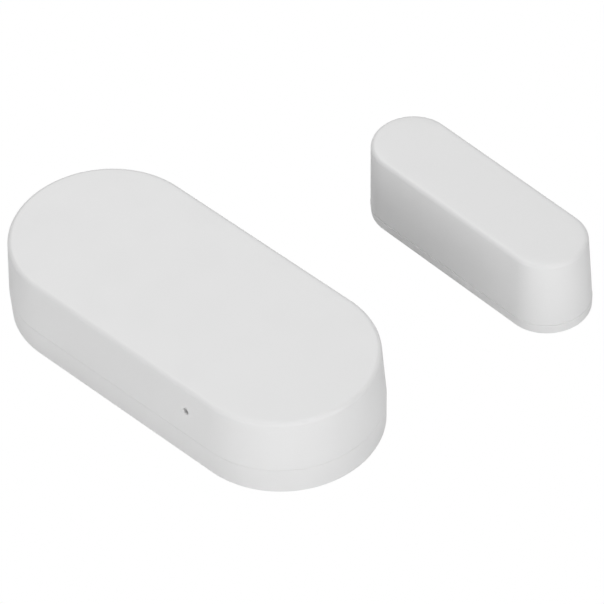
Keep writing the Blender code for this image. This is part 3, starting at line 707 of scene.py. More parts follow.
@dataclass(frozen=True)
class FoamTape:
    """Closed-cell foam tape: a pale mat of small cells."""

    name: str = "foam_tape"
    colour: tuple[float, float, float] = (0.60, 0.61, 0.60)

    def make(self) -> Material:
        """Build the material.

        Returns:
            The finished material.
        """
        paint = Paint(self.name)
        grain = paint.group(GROUPS.grain, Scale=2600.0)
        paint.roughness(paint.ramp(grain.outputs["Shade"], 0.3, 0.7, 0.82, 0.95))
        paint.colour(paint.mix(grain.outputs["Shade"], self.colour, tuple(v * 0.72 for v in self.colour)))
        paint.bump(grain.outputs["Height"], 0.00004)
        return paint.material


@dataclass(frozen=True)
class Metal:
    """Plated or drawn metal with fine scratches and patches of tarnish."""

    name: str
    colour: tuple[float, float, float]
    tarnish: tuple[float, float, float]
    roughness: float = 0.28
    scale: float = 7000.0
    stretch: float = 0.05
    depth: float = 0.0000015
    amount: float = 0.5

    def make(self) -> Material:
        """Build the material.

        Returns:
            The finished material.
        """
        paint = Paint(self.name, Metallic=1.0)
        scratches = paint.group(GROUPS.brush, Scale=self.scale, Stretch=self.stretch).outputs["Height"]
        patches = paint.group(GROUPS.smudge, Scale=420.0).outputs["Mask"]
        share = paint.maths("MULTIPLY", patches, self.amount)
        paint.colour(paint.mix(share, self.colour, self.tarnish))
        rough = paint.maths("MULTIPLY", patches, 0.12)
        paint.roughness(paint.maths("ADD", rough, self.roughness))
        paint.bump(scratches, self.depth)
        return paint.material


@dataclass(frozen=True)
class BoardLaminate:
    """Solder mask over a woven glass laminate, which shows bare on the cut edges."""

    name: str
    mask: tuple[float, float, float]
    edge: tuple[float, float, float] = (0.30, 0.28, 0.14)
    weave: float = 1500.0

    def make(self) -> Material:
        """Build the material.

        Returns:
            The finished material.
        """
        paint = Paint(self.name, IOR=1.52, Coat_Roughness=0.22)
        x, y, _ = paint.parts(paint.place)
        warp = paint.maths("SINE", paint.maths("MULTIPLY", x, self.weave * TURN))
        weft = paint.maths("SINE", paint.maths("MULTIPLY", y, self.weave * TURN))
        cloth = paint.maths("MULTIPLY", warp, weft)
        smudge = paint.group(GROUPS.smudge, Scale=260.0).outputs["Mask"]
        deep = tuple(value * 0.72 for value in self.mask)
        mask = paint.mix(paint.ramp(cloth, -1.0, 1.0, 0.0, 0.5), self.mask, deep)
        normal = paint.tree.nodes.new("ShaderNodeNewGeometry").outputs["Normal"]
        upward = paint.maths("ABSOLUTE", paint.parts(normal)[2])
        level = paint.maths("GREATER_THAN", upward, 0.7)
        paint.colour(paint.mix(level, self.edge, mask))
        paint.roughness(paint.ramp(smudge, 0.0, 1.0, 0.34, 0.46))
        paint.feed(paint.maths("MULTIPLY", level, 0.35), paint.shader.inputs["Coat Weight"])
        paint.bump(cloth, 0.000003)
        return paint.material


@dataclass(frozen=True)
class CellWrap:
    """Printed shrink film of a battery: a dark field, a pale band at the + end and its signs.

    It reads the piece's own attribute "cell": how far along from the flat end, and how far
    sideways and up from the axis, in metres.
    """

    name: str = "cell_wrap"
    field_colour: tuple[float, float, float] = (0.012, 0.085, 0.16)
    band_colour: tuple[float, float, float] = (0.62, 0.63, 0.62)
    line_colour: tuple[float, float, float] = (0.78, 0.42, 0.05)
    ink: tuple[float, float, float] = (0.85, 0.86, 0.86)
    band_start: float = 35.0 * MM
    line_width: float = 0.8 * MM
    sign_half: float = 1.5 * MM
    stroke_half: float = 0.33 * MM
    plus_at: float = 39.0 * MM
    minus_at: float = 4.5 * MM

    def make(self) -> Material:
        """Build the material.

        Returns:
            The finished material.
        """
        paint = Paint(self.name, IOR=1.5, Coat_Weight=0.4, Coat_Roughness=0.12)
        source = paint.tree.nodes.new("ShaderNodeAttribute")
        source.attribute_name = "cell"
        along, across, up = paint.parts(source.outputs["Vector"])
        above = paint.maths("GREATER_THAN", up, 0.0)
        across = paint.maths("ABSOLUTE", across)

        def bar(centre: float, half_along: float, half_across: float) -> Socket:
            """Mask of a printed bar on the upper side."""
            far = paint.maths("ABSOLUTE", paint.maths("SUBTRACT", along, centre))
            inside = paint.maths("LESS_THAN", far, half_along)
            beside = paint.maths("LESS_THAN", across, half_across)
            return paint.maths("MULTIPLY", paint.maths("MULTIPLY", inside, beside), above)

        band = paint.maths("GREATER_THAN", along, self.band_start)
        lined = paint.maths("GREATER_THAN", along, self.band_start - self.line_width)
        colour = paint.mix(lined, self.field_colour, self.line_colour)
        colour = paint.mix(band, colour, self.band_colour)
        plus = paint.maths(
            "MAXIMUM",
            bar(self.plus_at, self.sign_half, self.stroke_half),
            bar(self.plus_at, self.stroke_half, self.sign_half),
        )
        colour = paint.mix(plus, colour, self.field_colour)
        colour = paint.mix(bar(self.minus_at, self.stroke_half, self.sign_half), colour, self.ink)
        smudge = paint.group(GROUPS.smudge, Scale=300.0).outputs["Mask"]
        grain = paint.group(GROUPS.grain, Scale=1400.0)
        paint.colour(paint.mix(paint.maths("MULTIPLY", smudge, 0.012), colour, self.band_colour))
        paint.roughness(paint.ramp(smudge, 0.0, 1.0, 0.26, 0.32))
        paint.bump(grain.outputs["Height"], 0.000003)
        return paint.material


@dataclass(frozen=True)
class SealedGlass:
    """Greenish clear glass of a sealed tube."""

    name: str = "reed_glass"
    colour: tuple[float, float, float] = (0.72, 0.90, 0.78)

    def make(self) -> Material:
        """Build the material.

        Returns:
            The finished material.
        """
        paint = Paint(self.name, IOR=1.5, Transmission_Weight=1.0)
        smudge = paint.group(GROUPS.smudge, Scale=900.0).outputs["Mask"]
        paint.colour(paint.mix(smudge, self.colour, tuple(value * 0.96 for value in self.colour)))
        paint.roughness(paint.ramp(smudge, 0.0, 1.0, 0.02, 0.08))
        return paint.material


# ---------------------------------------------------------------- moulded cases


@dataclass
class MouldedCase:
    """A cover and a base with straight sides, half-round ends and a hairline seam."""

    prefix: str
    cover_body: str
    base_body: str
    place: Place
    length: float
    width: float
    top: float
    seam: float
    lip_top: float
    draft: float
    foot_inset: float
    wall: float
    roof: float
    floor: float
    pad_inset: float
    pad_proud: float = 0.2 * MM
    pad_recess: float = 0.5 * MM
    hairline: float = 0.02 * MM
    seam_edge: float = 0.05 * MM
    ledge: float = 0.0
    top_radius: float = 0.8 * MM
    foot_radius: float = 0.3 * MM
    lip_gap: float = 0.2 * MM
    lip_wall: float = 1.0 * MM
    notch: tuple[float, float, float] = (6.0 * MM, 0.9 * MM, 0.8 * MM)
    notch_x: float = 0.0
    bead_x: float = 10.0 * MM
    bead_length: float = 6.0 * MM
    tools: list[Piece] = field(default_factory=list)
    ribs: list[Piece] = field(default_factory=list)

    def lean(self, z: float) -> float:
        """How far the cover's wall has leaned in at a height."""
        return self.draft * (z - self.seam) / (self.top - self.seam)

    def shell(self, name: str, corners: list[tuple[float, float, float]]) -> Piece:
        """Closed shell whose outline levels run through rounded corners.

        Args:
            name: Name of the piece.
            corners: Inset, height and radius of each corner; the first and last are the
                flat ends' own rings.

        Returns:
            The new object.
        """
        table = np.array(corners)
        levels = rounded(table[:, :2], table[:, 2], steps=7)
        return skin(name, stadium_rings(self.length, self.width, levels), self.place)

    def tool(self, name: str, rings: Array) -> Piece:
        """Carving tool in the unit's own frame."""
        return skin(f"{self.prefix}_{name}", rings, self.place)

    def beads(self, gap: float) -> list[Piece]:
        """Low round bars on the lip, or their larger grooves, two on each long side.

        Args:
            gap: How much larger than the bead the shape is.

        Returns:
            One carving tool for each bead.
        """
        radius = 0.5 * MM + gap
        half = self.bead_length / 2 + gap
        edge = 0.2 * MM
        corners = [(-half, 0.1 * MM), (-half, radius), (half, radius), (half, 0.1 * MM)]
        profile = rounded(np.array(corners), edge, 4)
        y = self.width / 2 - self.wall - self.lip_gap - 0.35 * MM
        z = self.lip_top - 0.9 * MM
        spots = [(x, side * y) for x in (-self.bead_x, self.bead_x) for side in (-1, 1)]
        rings = turned_rings(profile, Axis.X, 24)
        return [self.tool(f"bead_{x:.3f}_{y:.3f}", rings + np.array([x, y, z])) for x, y in spots]

    def cover(self) -> Piece:
        """Cover: a cup turned upside down, with its bead grooves and pry notch.

        Returns:
            The cover.
        """
        ceiling = self.top - self.roof
        bottom = self.seam + self.hairline / 2
        inner = self.wall + self.lean(ceiling)
        cover = self.shell(
            f"{self.prefix}_cover_shell",
            [
                (inner + 2 * MM, ceiling, 0),
                (inner, ceiling, 0.5 * MM),
                (self.wall, bottom, self.seam_edge),
                (self.ledge, bottom, self.seam_edge),
                (self.draft, self.top, self.top_radius),
                (self.draft + 2 * MM, self.top, 0),
            ],
        )
        wide, high, deep = self.notch
        notch = block_rings((wide, deep * 2), 0.3 * MM, slab_profile(-high, high, 0.2 * MM))
        spot = np.array([self.notch_x, self.width / 2, self.seam])
        carve(cover, [*self.beads(0.1 * MM), self.tool("notch", notch + spot), *self.tools])
        return carve(cover, self.ribs, Blend.ADD)

    def base(self) -> Piece:
        """Base: a shallow tray with a tape recess below, a locating lip and snap beads.

        Returns:
            The base.
        """
        recess = self.pad_inset - 0.1 * MM
        rim = self.seam - self.hairline / 2
        lip = self.wall + self.lip_gap
        within = lip + self.lip_wall
        floor = self.pad_proud + self.floor
        base = self.shell(
            f"{self.prefix}_base_shell",
            [
                (recess + 1 * MM, self.pad_proud + self.pad_recess, 0),
                (recess, self.pad_proud + self.pad_recess, 0.1 * MM),
                (recess, self.pad_proud, 0.1 * MM),
                (self.foot_inset, self.pad_proud, self.foot_radius),
                (0, rim, self.seam_edge),
                (lip, rim, 0.08 * MM),
                (lip, self.lip_top, 0.2 * MM),
                (within, self.lip_top, 0.12 * MM),
                (within, floor, 0.4 * MM),
                (within + 1 * MM, floor, 0),
            ],
        )
        return carve(base, self.beads(0.0), Blend.ADD)

    def pad(self) -> Piece:
        """Foam tape: a thin slab with soft edges, proud of its recess."""
        levels = slab_profile(0, self.pad_proud + self.pad_recess - 0.02 * MM, 0.12 * MM)
        levels[:, 0] += self.pad_inset
        return skin(f"{self.prefix}_foam_tape", stadium_rings(self.length, self.width, levels), self.place)

    def dress(self, cover: Piece, base: Piece, plastic: Material, foam: Material) -> None:
        """Finish the case's three pieces.

        Args:
            cover: The carved cover.
            base: The carved base.
            plastic: Material of cover and base.
            foam: Material of the tape.
        """
        fit(even_shading(cover), self.cover_body, plastic, "case_plastic", f"{self.prefix}_cover")
        fit(even_shading(base), self.base_body, plastic, "case_plastic", f"{self.prefix}_base")
        pad = fit(self.pad(), self.base_body, foam, "foam_tape", f"{self.prefix}_adhesive_pad")


@dataclass
class SensorFittings:
    """What the sensor unit's case holds besides its shells: pinhole, keel rib and board posts."""

    hole_radius: float = 0.55 * MM
    flare: float = 0.09 * MM
    keel_half: float = 0.5 * MM
    keel_bottom: float = 11.17 * MM
    keel_top: float = 14.0 * MM
    post_radius: float = 2.0 * MM
    pilot_radius: float = 1.1 * MM
    pilot_depth: float = 5.4 * MM

    def pinhole(self, face: float) -> Piece:
        """Cutter for the pinhole: a round bore whose mouth widens a little.

        Args:
            face: Y of the wall's outer face at the pinhole.

        Returns:
            The cutter.
        """
        low, high = span("setup_switch_plunger")
        bore, mouth = self.hole_radius, self.hole_radius + self.flare
        corners = [(-MM, mouth + self.flare), (-0.01 * MM, mouth), (self.flare, bore), (3 * MM, bore)]
        profile = rounded(np.array(corners), self.flare / 2, 5)
        spot = Place((low[0] + high[0]) / 2, face, (low[2] + high[2]) / 2)
        return turned("pinhole", profile, Axis.Y, spot, 64)

    def keel(self) -> Piece:
        """Rib under the cover that keeps the two cells down."""
        start = span("battery_1")[0][0] + 1.2 * MM
        end = span("contact_positive")[0][0] - 1.2 * MM
        low, high = (start, -self.keel_half, self.keel_bottom), (end, self.keel_half, self.keel_top)
        return block("keel", low, high, 0.15 * MM, 0.3 * MM)

    def posts(self, base: Piece, floor: float, top: float) -> Piece:
        """Add the two bored screw posts, filleted at the foot, one turned profile each.

        Args:
            base: The base's shell.
            floor: Top of its floor.
            top: Top of the posts.

        Returns:
            The base.
        """
        radius, pilot = self.post_radius, self.pilot_radius
        corners = [
            (floor - 0.3 * MM, radius + 0.5 * MM),
            (floor + 0.05 * MM, radius + 0.5 * MM),
            (floor + 0.55 * MM, radius),
            (top, radius),
            (top, pilot + 0.2 * MM),
            (top - 0.25 * MM, pilot),
            (top - self.pilot_depth, pilot),
            (top - self.pilot_depth, 0.02 * MM),
        ]
        radii = np.array([0, 0.02, 0.3, 0.15, 0.05, 0.05, 0.2, 0]) * MM
        profile = rounded(np.array(corners), radii, 5)
        spots = [Place(*MainBoard.middle(f"board_screw_{number}")) for number in (1, 2)]
        return carve(base, [turned("post", profile, Axis.Z, spot, 48) for spot in spots], Blend.ADD)


def sensor_case() -> MouldedCase:
    """Case of the sensor unit, sized from the frame.

    Returns:
        The case, not built yet.
    """
    cover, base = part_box("sensor_cover"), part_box("sensor_base")
    return MouldedCase(
        prefix="sensor",
        cover_body="sensor_cover",
        base_body="sensor_unit",
        place=HOME,
        length=cover[1].x - cover[0].x,
        width=cover[1].y - cover[0].y,
        top=cover[1].z,
        seam=cover[0].z - 0.15 * MM,
        lip_top=base[1].z,
        draft=0.45 * MM,
        foot_inset=0.2 * MM,
        wall=1.5 * MM,
        roof=1.5 * MM,
        floor=1.5 * MM,
        pad_inset=3.5 * MM,
        notch_x=-16.0 * MM,
    )


def magnet_case(yaw: float) -> MouldedCase:
    """Case of the magnet unit, sized from the frame.

    The box of a turned stadium is length - width times the yaw's cosine or sine, plus the
    width, along X and Y, which gives back its length and width.

    Args:
        yaw: How far the magnet unit is turned about Z.

    Returns:
        The case.
    """
    low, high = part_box("magnet_cover")
    across, along = abs(math.sin(yaw)), math.cos(yaw)
    straight = ((high.x - low.x) - (high.y - low.y)) / (along - across)
    width = (high.x - low.x) - straight * along
    return MouldedCase(
        prefix="magnet",
        cover_body="magnet_cover",
        base_body="magnet_unit",
        place=Place((low.x + high.x) / 2, (low.y + high.y) / 2, 0.0, yaw),
        length=straight + width,
        width=width,
        top=high.z,
        seam=low.z - 0.15 * MM,
        lip_top=2 * MM + low.z,
        draft=0.5 * MM,
        foot_inset=0.1 * MM,
        wall=1.3 * MM,
        roof=1.4 * MM,
        floor=1.4 * MM,
        pad_inset=2.2 * MM,
        bead_x=8.0 * MM,
        bead_length=4.0 * MM,
        seam_edge=0.09 * MM,
        ledge=0.05 * MM,
    )


# ---------------------------------------------------------------- parts inside


def span(node: str) -> tuple[Array, Array]:
    """Lowest and highest corner of a frame node at rest."""
    low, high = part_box(node)
    return np.array(low), np.array(high)


@dataclass
class BatteryTray:
    """Black inner frame: a floor, a low wall, cradle ribs and a high wall at each end."""

    wall: float = 1.0 * MM
    floor: float = 0.5 * MM
    wall_edge: float = 0.2 * MM
    rim: float = 8.1 * MM
    arc_x: float = 19.65 * MM
    link_wall_half: float = 9.55 * MM
    terminal_wall_half: float = 8.85 * MM
    terminal_wall_top: float = 9.2 * MM
    rib_pitch: float = 13.0 * MM
    rib_width: float = 1.2 * MM
    cradle: float = 0.2 * MM

    def outline(self, inset: float, high: Array) -> Array:
        """Ring of the tray: a stadium's outline cut straight across at the +X end.

        The -X end is a half circle; the +X end follows its own half circle only up to the
        angle whose sine is the cut's distance past the arc's centre over the radius.

        Args:
            inset: How far in from the tray's outside.
            high: Tray's highest corner.

        Returns:
            Points of shape (n, 2).
        """
        radius = high[1] - inset
        reach = math.asin((high[0] - inset - self.arc_x) / radius)
        corner = HALF_TURN / 2 - np.linspace(0, reach, 7)
        far = np.linspace(HALF_TURN / 2, 3 * HALF_TURN / 2, 73)
        angle = np.concatenate([-corner, corner[::-1], far])
        centre = np.concatenate([np.full(14, self.arc_x), np.full(73, -self.arc_x)])
        return np.stack([centre + radius * np.cos(angle), radius * np.sin(angle)], axis=1)

    def build(self, finish: Material) -> None:
        """Build and dress the tray.

        Args:
            finish: Its plastic.
        """
        low, high = span("battery_tray")
        levels = rounded(
            np.array(
                [
                    (1 * MM, low[2]),
                    (0, low[2]),
                    (0, self.rim),
                    (self.wall, self.rim),
                    (self.wall, low[2] + self.floor),
                    (self.wall + 1 * MM, low[2] + self.floor),
                ]
            ),
            self.wall_edge,
            4,
        )
        flat = [self.outline(inset, high) for inset in levels[:, 0]]
        heights = zip(flat, levels[:, 1])
        rings = np.stack([np.column_stack([ring, np.full(len(ring), z)]) for ring, z in heights])
        tray = skin("battery_tray_moulding", rings)
        first, second = span("battery_1"), span("battery_2")
        axis_z = first[1][2] - (first[1][1] - first[0][1]) / 2
        foot = low[2] + self.floor / 2
        link_x = span("contact_link")[0][0]
        walls = [
            block(
                "link_wall",
                (link_x + 0.05 * MM, -self.link_wall_half, foot),
                (link_x + 1.05 * MM, self.link_wall_half, high[2]),
                0.15 * MM,
            ),
            block(
                "terminal_wall",
                (high[0] - self.wall, -self.terminal_wall_half, foot),
                (high[0] - 0.1 * MM, self.terminal_wall_half, self.terminal_wall_top),
                0.15 * MM,
            ),
        ]
        side = high[1] - self.wall / 2
        middle = (first[0][0] + second[1][0]) / 2
        for number in (-1, 0, 1):
            x = middle + number * self.rib_pitch
            spot = (x - self.rib_width / 2, -side, foot), (x + self.rib_width / 2, side, axis_z - 0.05 * MM)
            walls.append(block(f"rib_{number}", *spot, 0.1 * MM))
        ridge_low = (link_x + 2.7 * MM, -0.5 * MM, foot)
        ridge_high = (span("contact_positive")[0][0] - 1.2 * MM, 0.5 * MM, 4.6 * MM)
        walls.append(block("ridge", ridge_low, ridge_high, 0.1 * MM))
        carve(tray, walls, Blend.ADD)
        bays = []
        for start, end in (first, second):
            radius = (end[1] - start[1]) / 2 + self.cradle
            profile = [(start[0] - 0.15 * MM, radius), (end[0] + 0.15 * MM, radius)]
            bays.append(turned("bay", profile, Axis.X, Place(0, (start[1] + end[1]) / 2, axis_z), 96))
        fit(even_shading(carve(tray, bays)), "sensor_unit", finish, "tray_plastic", "battery_tray")


@dataclass
class Cell:
    """AAA cell: a steel can with a nub and a dished flat end, in a printed wrap folded over both rims."""

    node: str
    way: int
    wrap_thickness: float = 0.1 * MM
    nub_length: float = 1.0 * MM
    nub_radius: float = 1.9 * MM

    def profile(self, corners: list[tuple[float, float]], radii: float | list[float], closed: bool) -> Array:
        """Rounded profile given in millimetres from the flat end, laid along the cell's own way."""
        path = rounded(np.array(corners) * MM, np.asarray(radii) * MM, 5, closed)
        low, high = span(self.node)
        start = low[0] if self.way > 0 else high[0]
        return np.stack([start + self.way * path[:, 0], path[:, 1]], axis=1)

    def build(self, wrap: Material, steel: Material, washer: Material) -> None:
        """Build and dress the cell.

        Args:
            wrap: Printed film.
            steel: Can and nub.
            washer: Insulating ring round the nub.
        """
        low, high = span(self.node)
        radius = (high[1] - low[1]) / 2
        spot = Place(0, (low[1] + high[1]) / 2, high[2] - radius)
        full = radius / MM
        can = (high[0] - low[0] - self.nub_length) / MM
        inner = full - self.wrap_thickness / MM
        film = [
            (0.0, 4.3),
            (0.0, full),
            (can, full),
            (can, 4.2),
            (can - 0.1, 4.2),
            (can - 0.1, inner),
            (0.1, inner),
            (0.1, 4.3),
        ]
        film_radii = [0.04, 0.42, 0.42, 0.04, 0.04, 0.34, 0.34, 0.04]
        piece = turned(f"{self.node}_wrap", self.profile(film, film_radii, True), Axis.X, spot, 96, True)
        points = np.empty(len(piece.data.vertices) * 3)
        piece.data.vertices.foreach_get("co", points)
        points = points.reshape(-1, 3) - np.array([low[0] if self.way > 0 else high[0], spot.y, spot.z])
        points[:, 0] *= self.way
        piece.data.attributes.new("cell", "FLOAT_VECTOR", "POINT").data.foreach_set("vector", points.ravel())
        fit(piece, "sensor_unit", wrap, "cell_wrap", self.node)
        nub = self.nub_radius / MM
        body = [
            (0.35, 0.02),
            (0.35, 3.3),
            (0.06, 3.7),
            (0.06, inner - 0.02),
            (can - 0.06, inner - 0.02),
            (can - 0.06, 3.6),
            (can - 0.35, 3.4),
            (can - 0.35, nub + 0.02),
            (can + 0.98, nub),
            (can + 0.98, 0.02),
        ]
        radii = [0, 0.15, 0.1, 0.3, 0.3, 0.1, 0.1, 0.1, 0.22, 0]
        core = turned(f"{self.node}_can", self.profile(body, radii, False), Axis.X, spot, 72)
        fit(core, "sensor_unit", steel, "spring_steel")
        ring = [(can - 0.36, 2.05), (can - 0.36, 3.3), (can - 0.2, 3.3), (can - 0.2, 2.05)]
        seal = turned(f"{self.node}_washer", self.profile(ring, 0.05, True), Axis.X, spot, 72, True)
        fit(seal, "sensor_unit", washer, "tray_plastic")


def bent_sheet(
    name: str, path: list[tuple[float, float]], thickness: float, low: float, high: float
) -> Piece:
    """Sheet bent along a path in the XZ plane and drawn out along Y, its bends rounded.

    Args:
        name: Name of the piece.
        path: Middle line as (x, z) points.
        thickness: Thickness of the sheet.
        low: Lowest y.
        high: Highest y.

    Returns:
        The new object.
    """
    line = rounded(np.array(path)[:, ::-1], thickness, 6)
    return skin(name, upright(ribbon(line, thickness, low, high), Axis.Y))


def dome(name: str, spot: Array, size: Array, axis: Axis = Axis.Z, steps: int = 32) -> Piece:
    """Half ellipsoid that bulges along its axis: radius times cosine, height times sine.

    Args:
        name: Name of the piece.
        spot: Centre of its flat face.
        size: Height along the axis, then the two half widths.
        axis: Direction that it bulges in.
        steps: Points round each circle.

    Returns:
        The new object.
    """
    rise = np.linspace(0, HALF_TURN / 2 * 0.995, 9)
    rings = turned_rings(np.stack([np.sin(rise), np.cos(rise)], axis=1), axis, steps)
    scale = np.empty(3)
    scale[list(axis.value)] = size
    return skin(name, rings * scale + np.asarray(spot))


def coil(name: str, wide: float, narrow: float, y: float, z: float, radii: tuple[float, float]) -> Piece:
    """Conical spring with a flat closed coil at each end.

    The wire's middle turns evenly; its height along X rises only between the first and last
    three quarters of a turn, and its radius shrinks evenly from the wide end to the narrow one.

    Args:
        name: Name of the piece.
        wide: X of the wide end's outermost wire surface.
        narrow: X of the narrow end's outermost wire surface.
        y: Y of its axis.
        z: Z of its axis.
        radii: Coil radius at the wide end and at the narrow end.

    Returns:
        The new object.
    """
    wire, turns, flat = 0.25 * MM, 4.2, 0.75
    way = math.copysign(1.0, narrow - wide)
    start, end = wide + way * wire, narrow - way * wire
    share = np.linspace(0, 1, int(turns * 40))
    climb = np.clip((share * turns - flat) / (turns - 2 * flat), 0, 1)
    climb = climb + (climb * climb * (3 - 2 * climb) - climb) * 0.4
    angle = share * turns * TURN
    radius = radii[0] + (radii[1] - radii[0]) * share
    around = np.arange(12) * TURN / 12
    out = radius[:, None] + wire * np.cos(around)
    rings = np.empty((len(share), 12, 3))
    rings[..., 0] = (start + (end - start) * climb)[:, None] + wire * np.sin(around)
    rings[..., 1] = y + out * np.cos(angle)[:, None]
    rings[..., 2] = z + out * np.sin(angle)[:, None]
    return skin(name, rings)


@dataclass
class Contacts:
    """Plated sheets and springs that join the two cells to each other and to the board."""

    sheet: float = 0.3 * MM
    plate_corner: float = 0.8 * MM
    tab_half: float = 1.3 * MM
    spring_radii: tuple[float, float] = (3.2 * MM, 1.5 * MM)

    def plate(self, name: str, low: Array, high: Array) -> Piece:
        """Upright sheet between two corners, drawn out along X, with rounded corners."""
        levels = slab_profile(low[0], high[0], 0.05 * MM, 3)
        rings = upright(block_rings((high[1] - low[1], high[2] - low[2]), self.plate_corner, levels), Axis.X)
        return skin(name, rings + np.array([0, (low[1] + high[1]) / 2, (low[2] + high[2]) / 2]))

    def build(self, steel: Material, solder: Material) -> None:
        """Build and dress the sheets, their bosses, the springs and the soldered tabs.

        Args:
            steel: Plated spring steel.
            solder: Tin of the joints.
        """
        low, high = span("contact_link")
        face = low[0] + 1.5 * MM
        back = face - self.sheet
        axis_z = (span("spring_1")[0][2] + span("spring_1")[1][2]) / 2
        plate_low = np.array([back, low[1], low[2]])
        plate_high = np.array([face, high[1], high[2] - 0.05 * MM])
        link = self.plate("link_plate", plate_low, plate_high)
        hook_path = [
            (face - self.sheet / 2, high[2] - 1.2 * MM),
            (face - self.sheet / 2, high[2] - self.sheet / 2),
            (low[0], high[2] - self.sheet / 2),
        ]
        hook = bent_sheet("link_hook", hook_path, self.sheet, low[1] / 2, high[1] / 2)
        nub_y = sum(corner[1] for corner in span("battery_2")) / 2
        boss = dome("link_boss", (face, nub_y, axis_z), (0.13 * MM, 1.6 * MM, 1.6 * MM), Axis.X)
        fit(merge("link_contact", [link, hook, boss]), "sensor_unit", steel, "spring_steel", "contact_link")
        for node in ("contact_positive", "contact_negative"):
            low, high = span(node)
            y = (low[1] + high[1]) / 2
            plate_high = np.array([low[0] + self.sheet, high[1], high[2] - 0.25 * MM])
            plate = self.plate(f"{node}_plate", low, plate_high)
            tab_path = [
                (low[0] + self.sheet / 2, high[2] - 1.2 * MM),
                (low[0] + self.sheet / 2, high[2] - self.sheet / 2),
                (high[0], high[2] - self.sheet / 2),
            ]
            tab = bent_sheet(f"{node}_tab", tab_path, self.sheet, y - self.tab_half, y + self.tab_half)
            fit(merge(f"{node}_sheet", [plate, tab]), "sensor_unit", steel, "spring_steel", node)
            spot = (high[0] - 0.45 * MM, y, high[2] - self.sheet - 0.1 * MM)
            joint = dome(f"{node}_solder", spot, (0.62 * MM, 0.7 * MM, 1.7 * MM))
            fit(joint, "sensor_unit", solder, "spring_steel")
        for node, at_low in (("spring_1", True), ("spring_2", False)):
            low, high = span(node)
            ends = (low[0], high[0]) if at_low else (high[0], low[0])
            y = sum(corner[1] for corner in span("battery_1" if at_low else "battery_2")) / 2
            piece = coil(f"{node}_coil", *ends, y, axis_z, self.spring_radii)
            fit(piece, "sensor_unit", steel, "spring_steel", node)


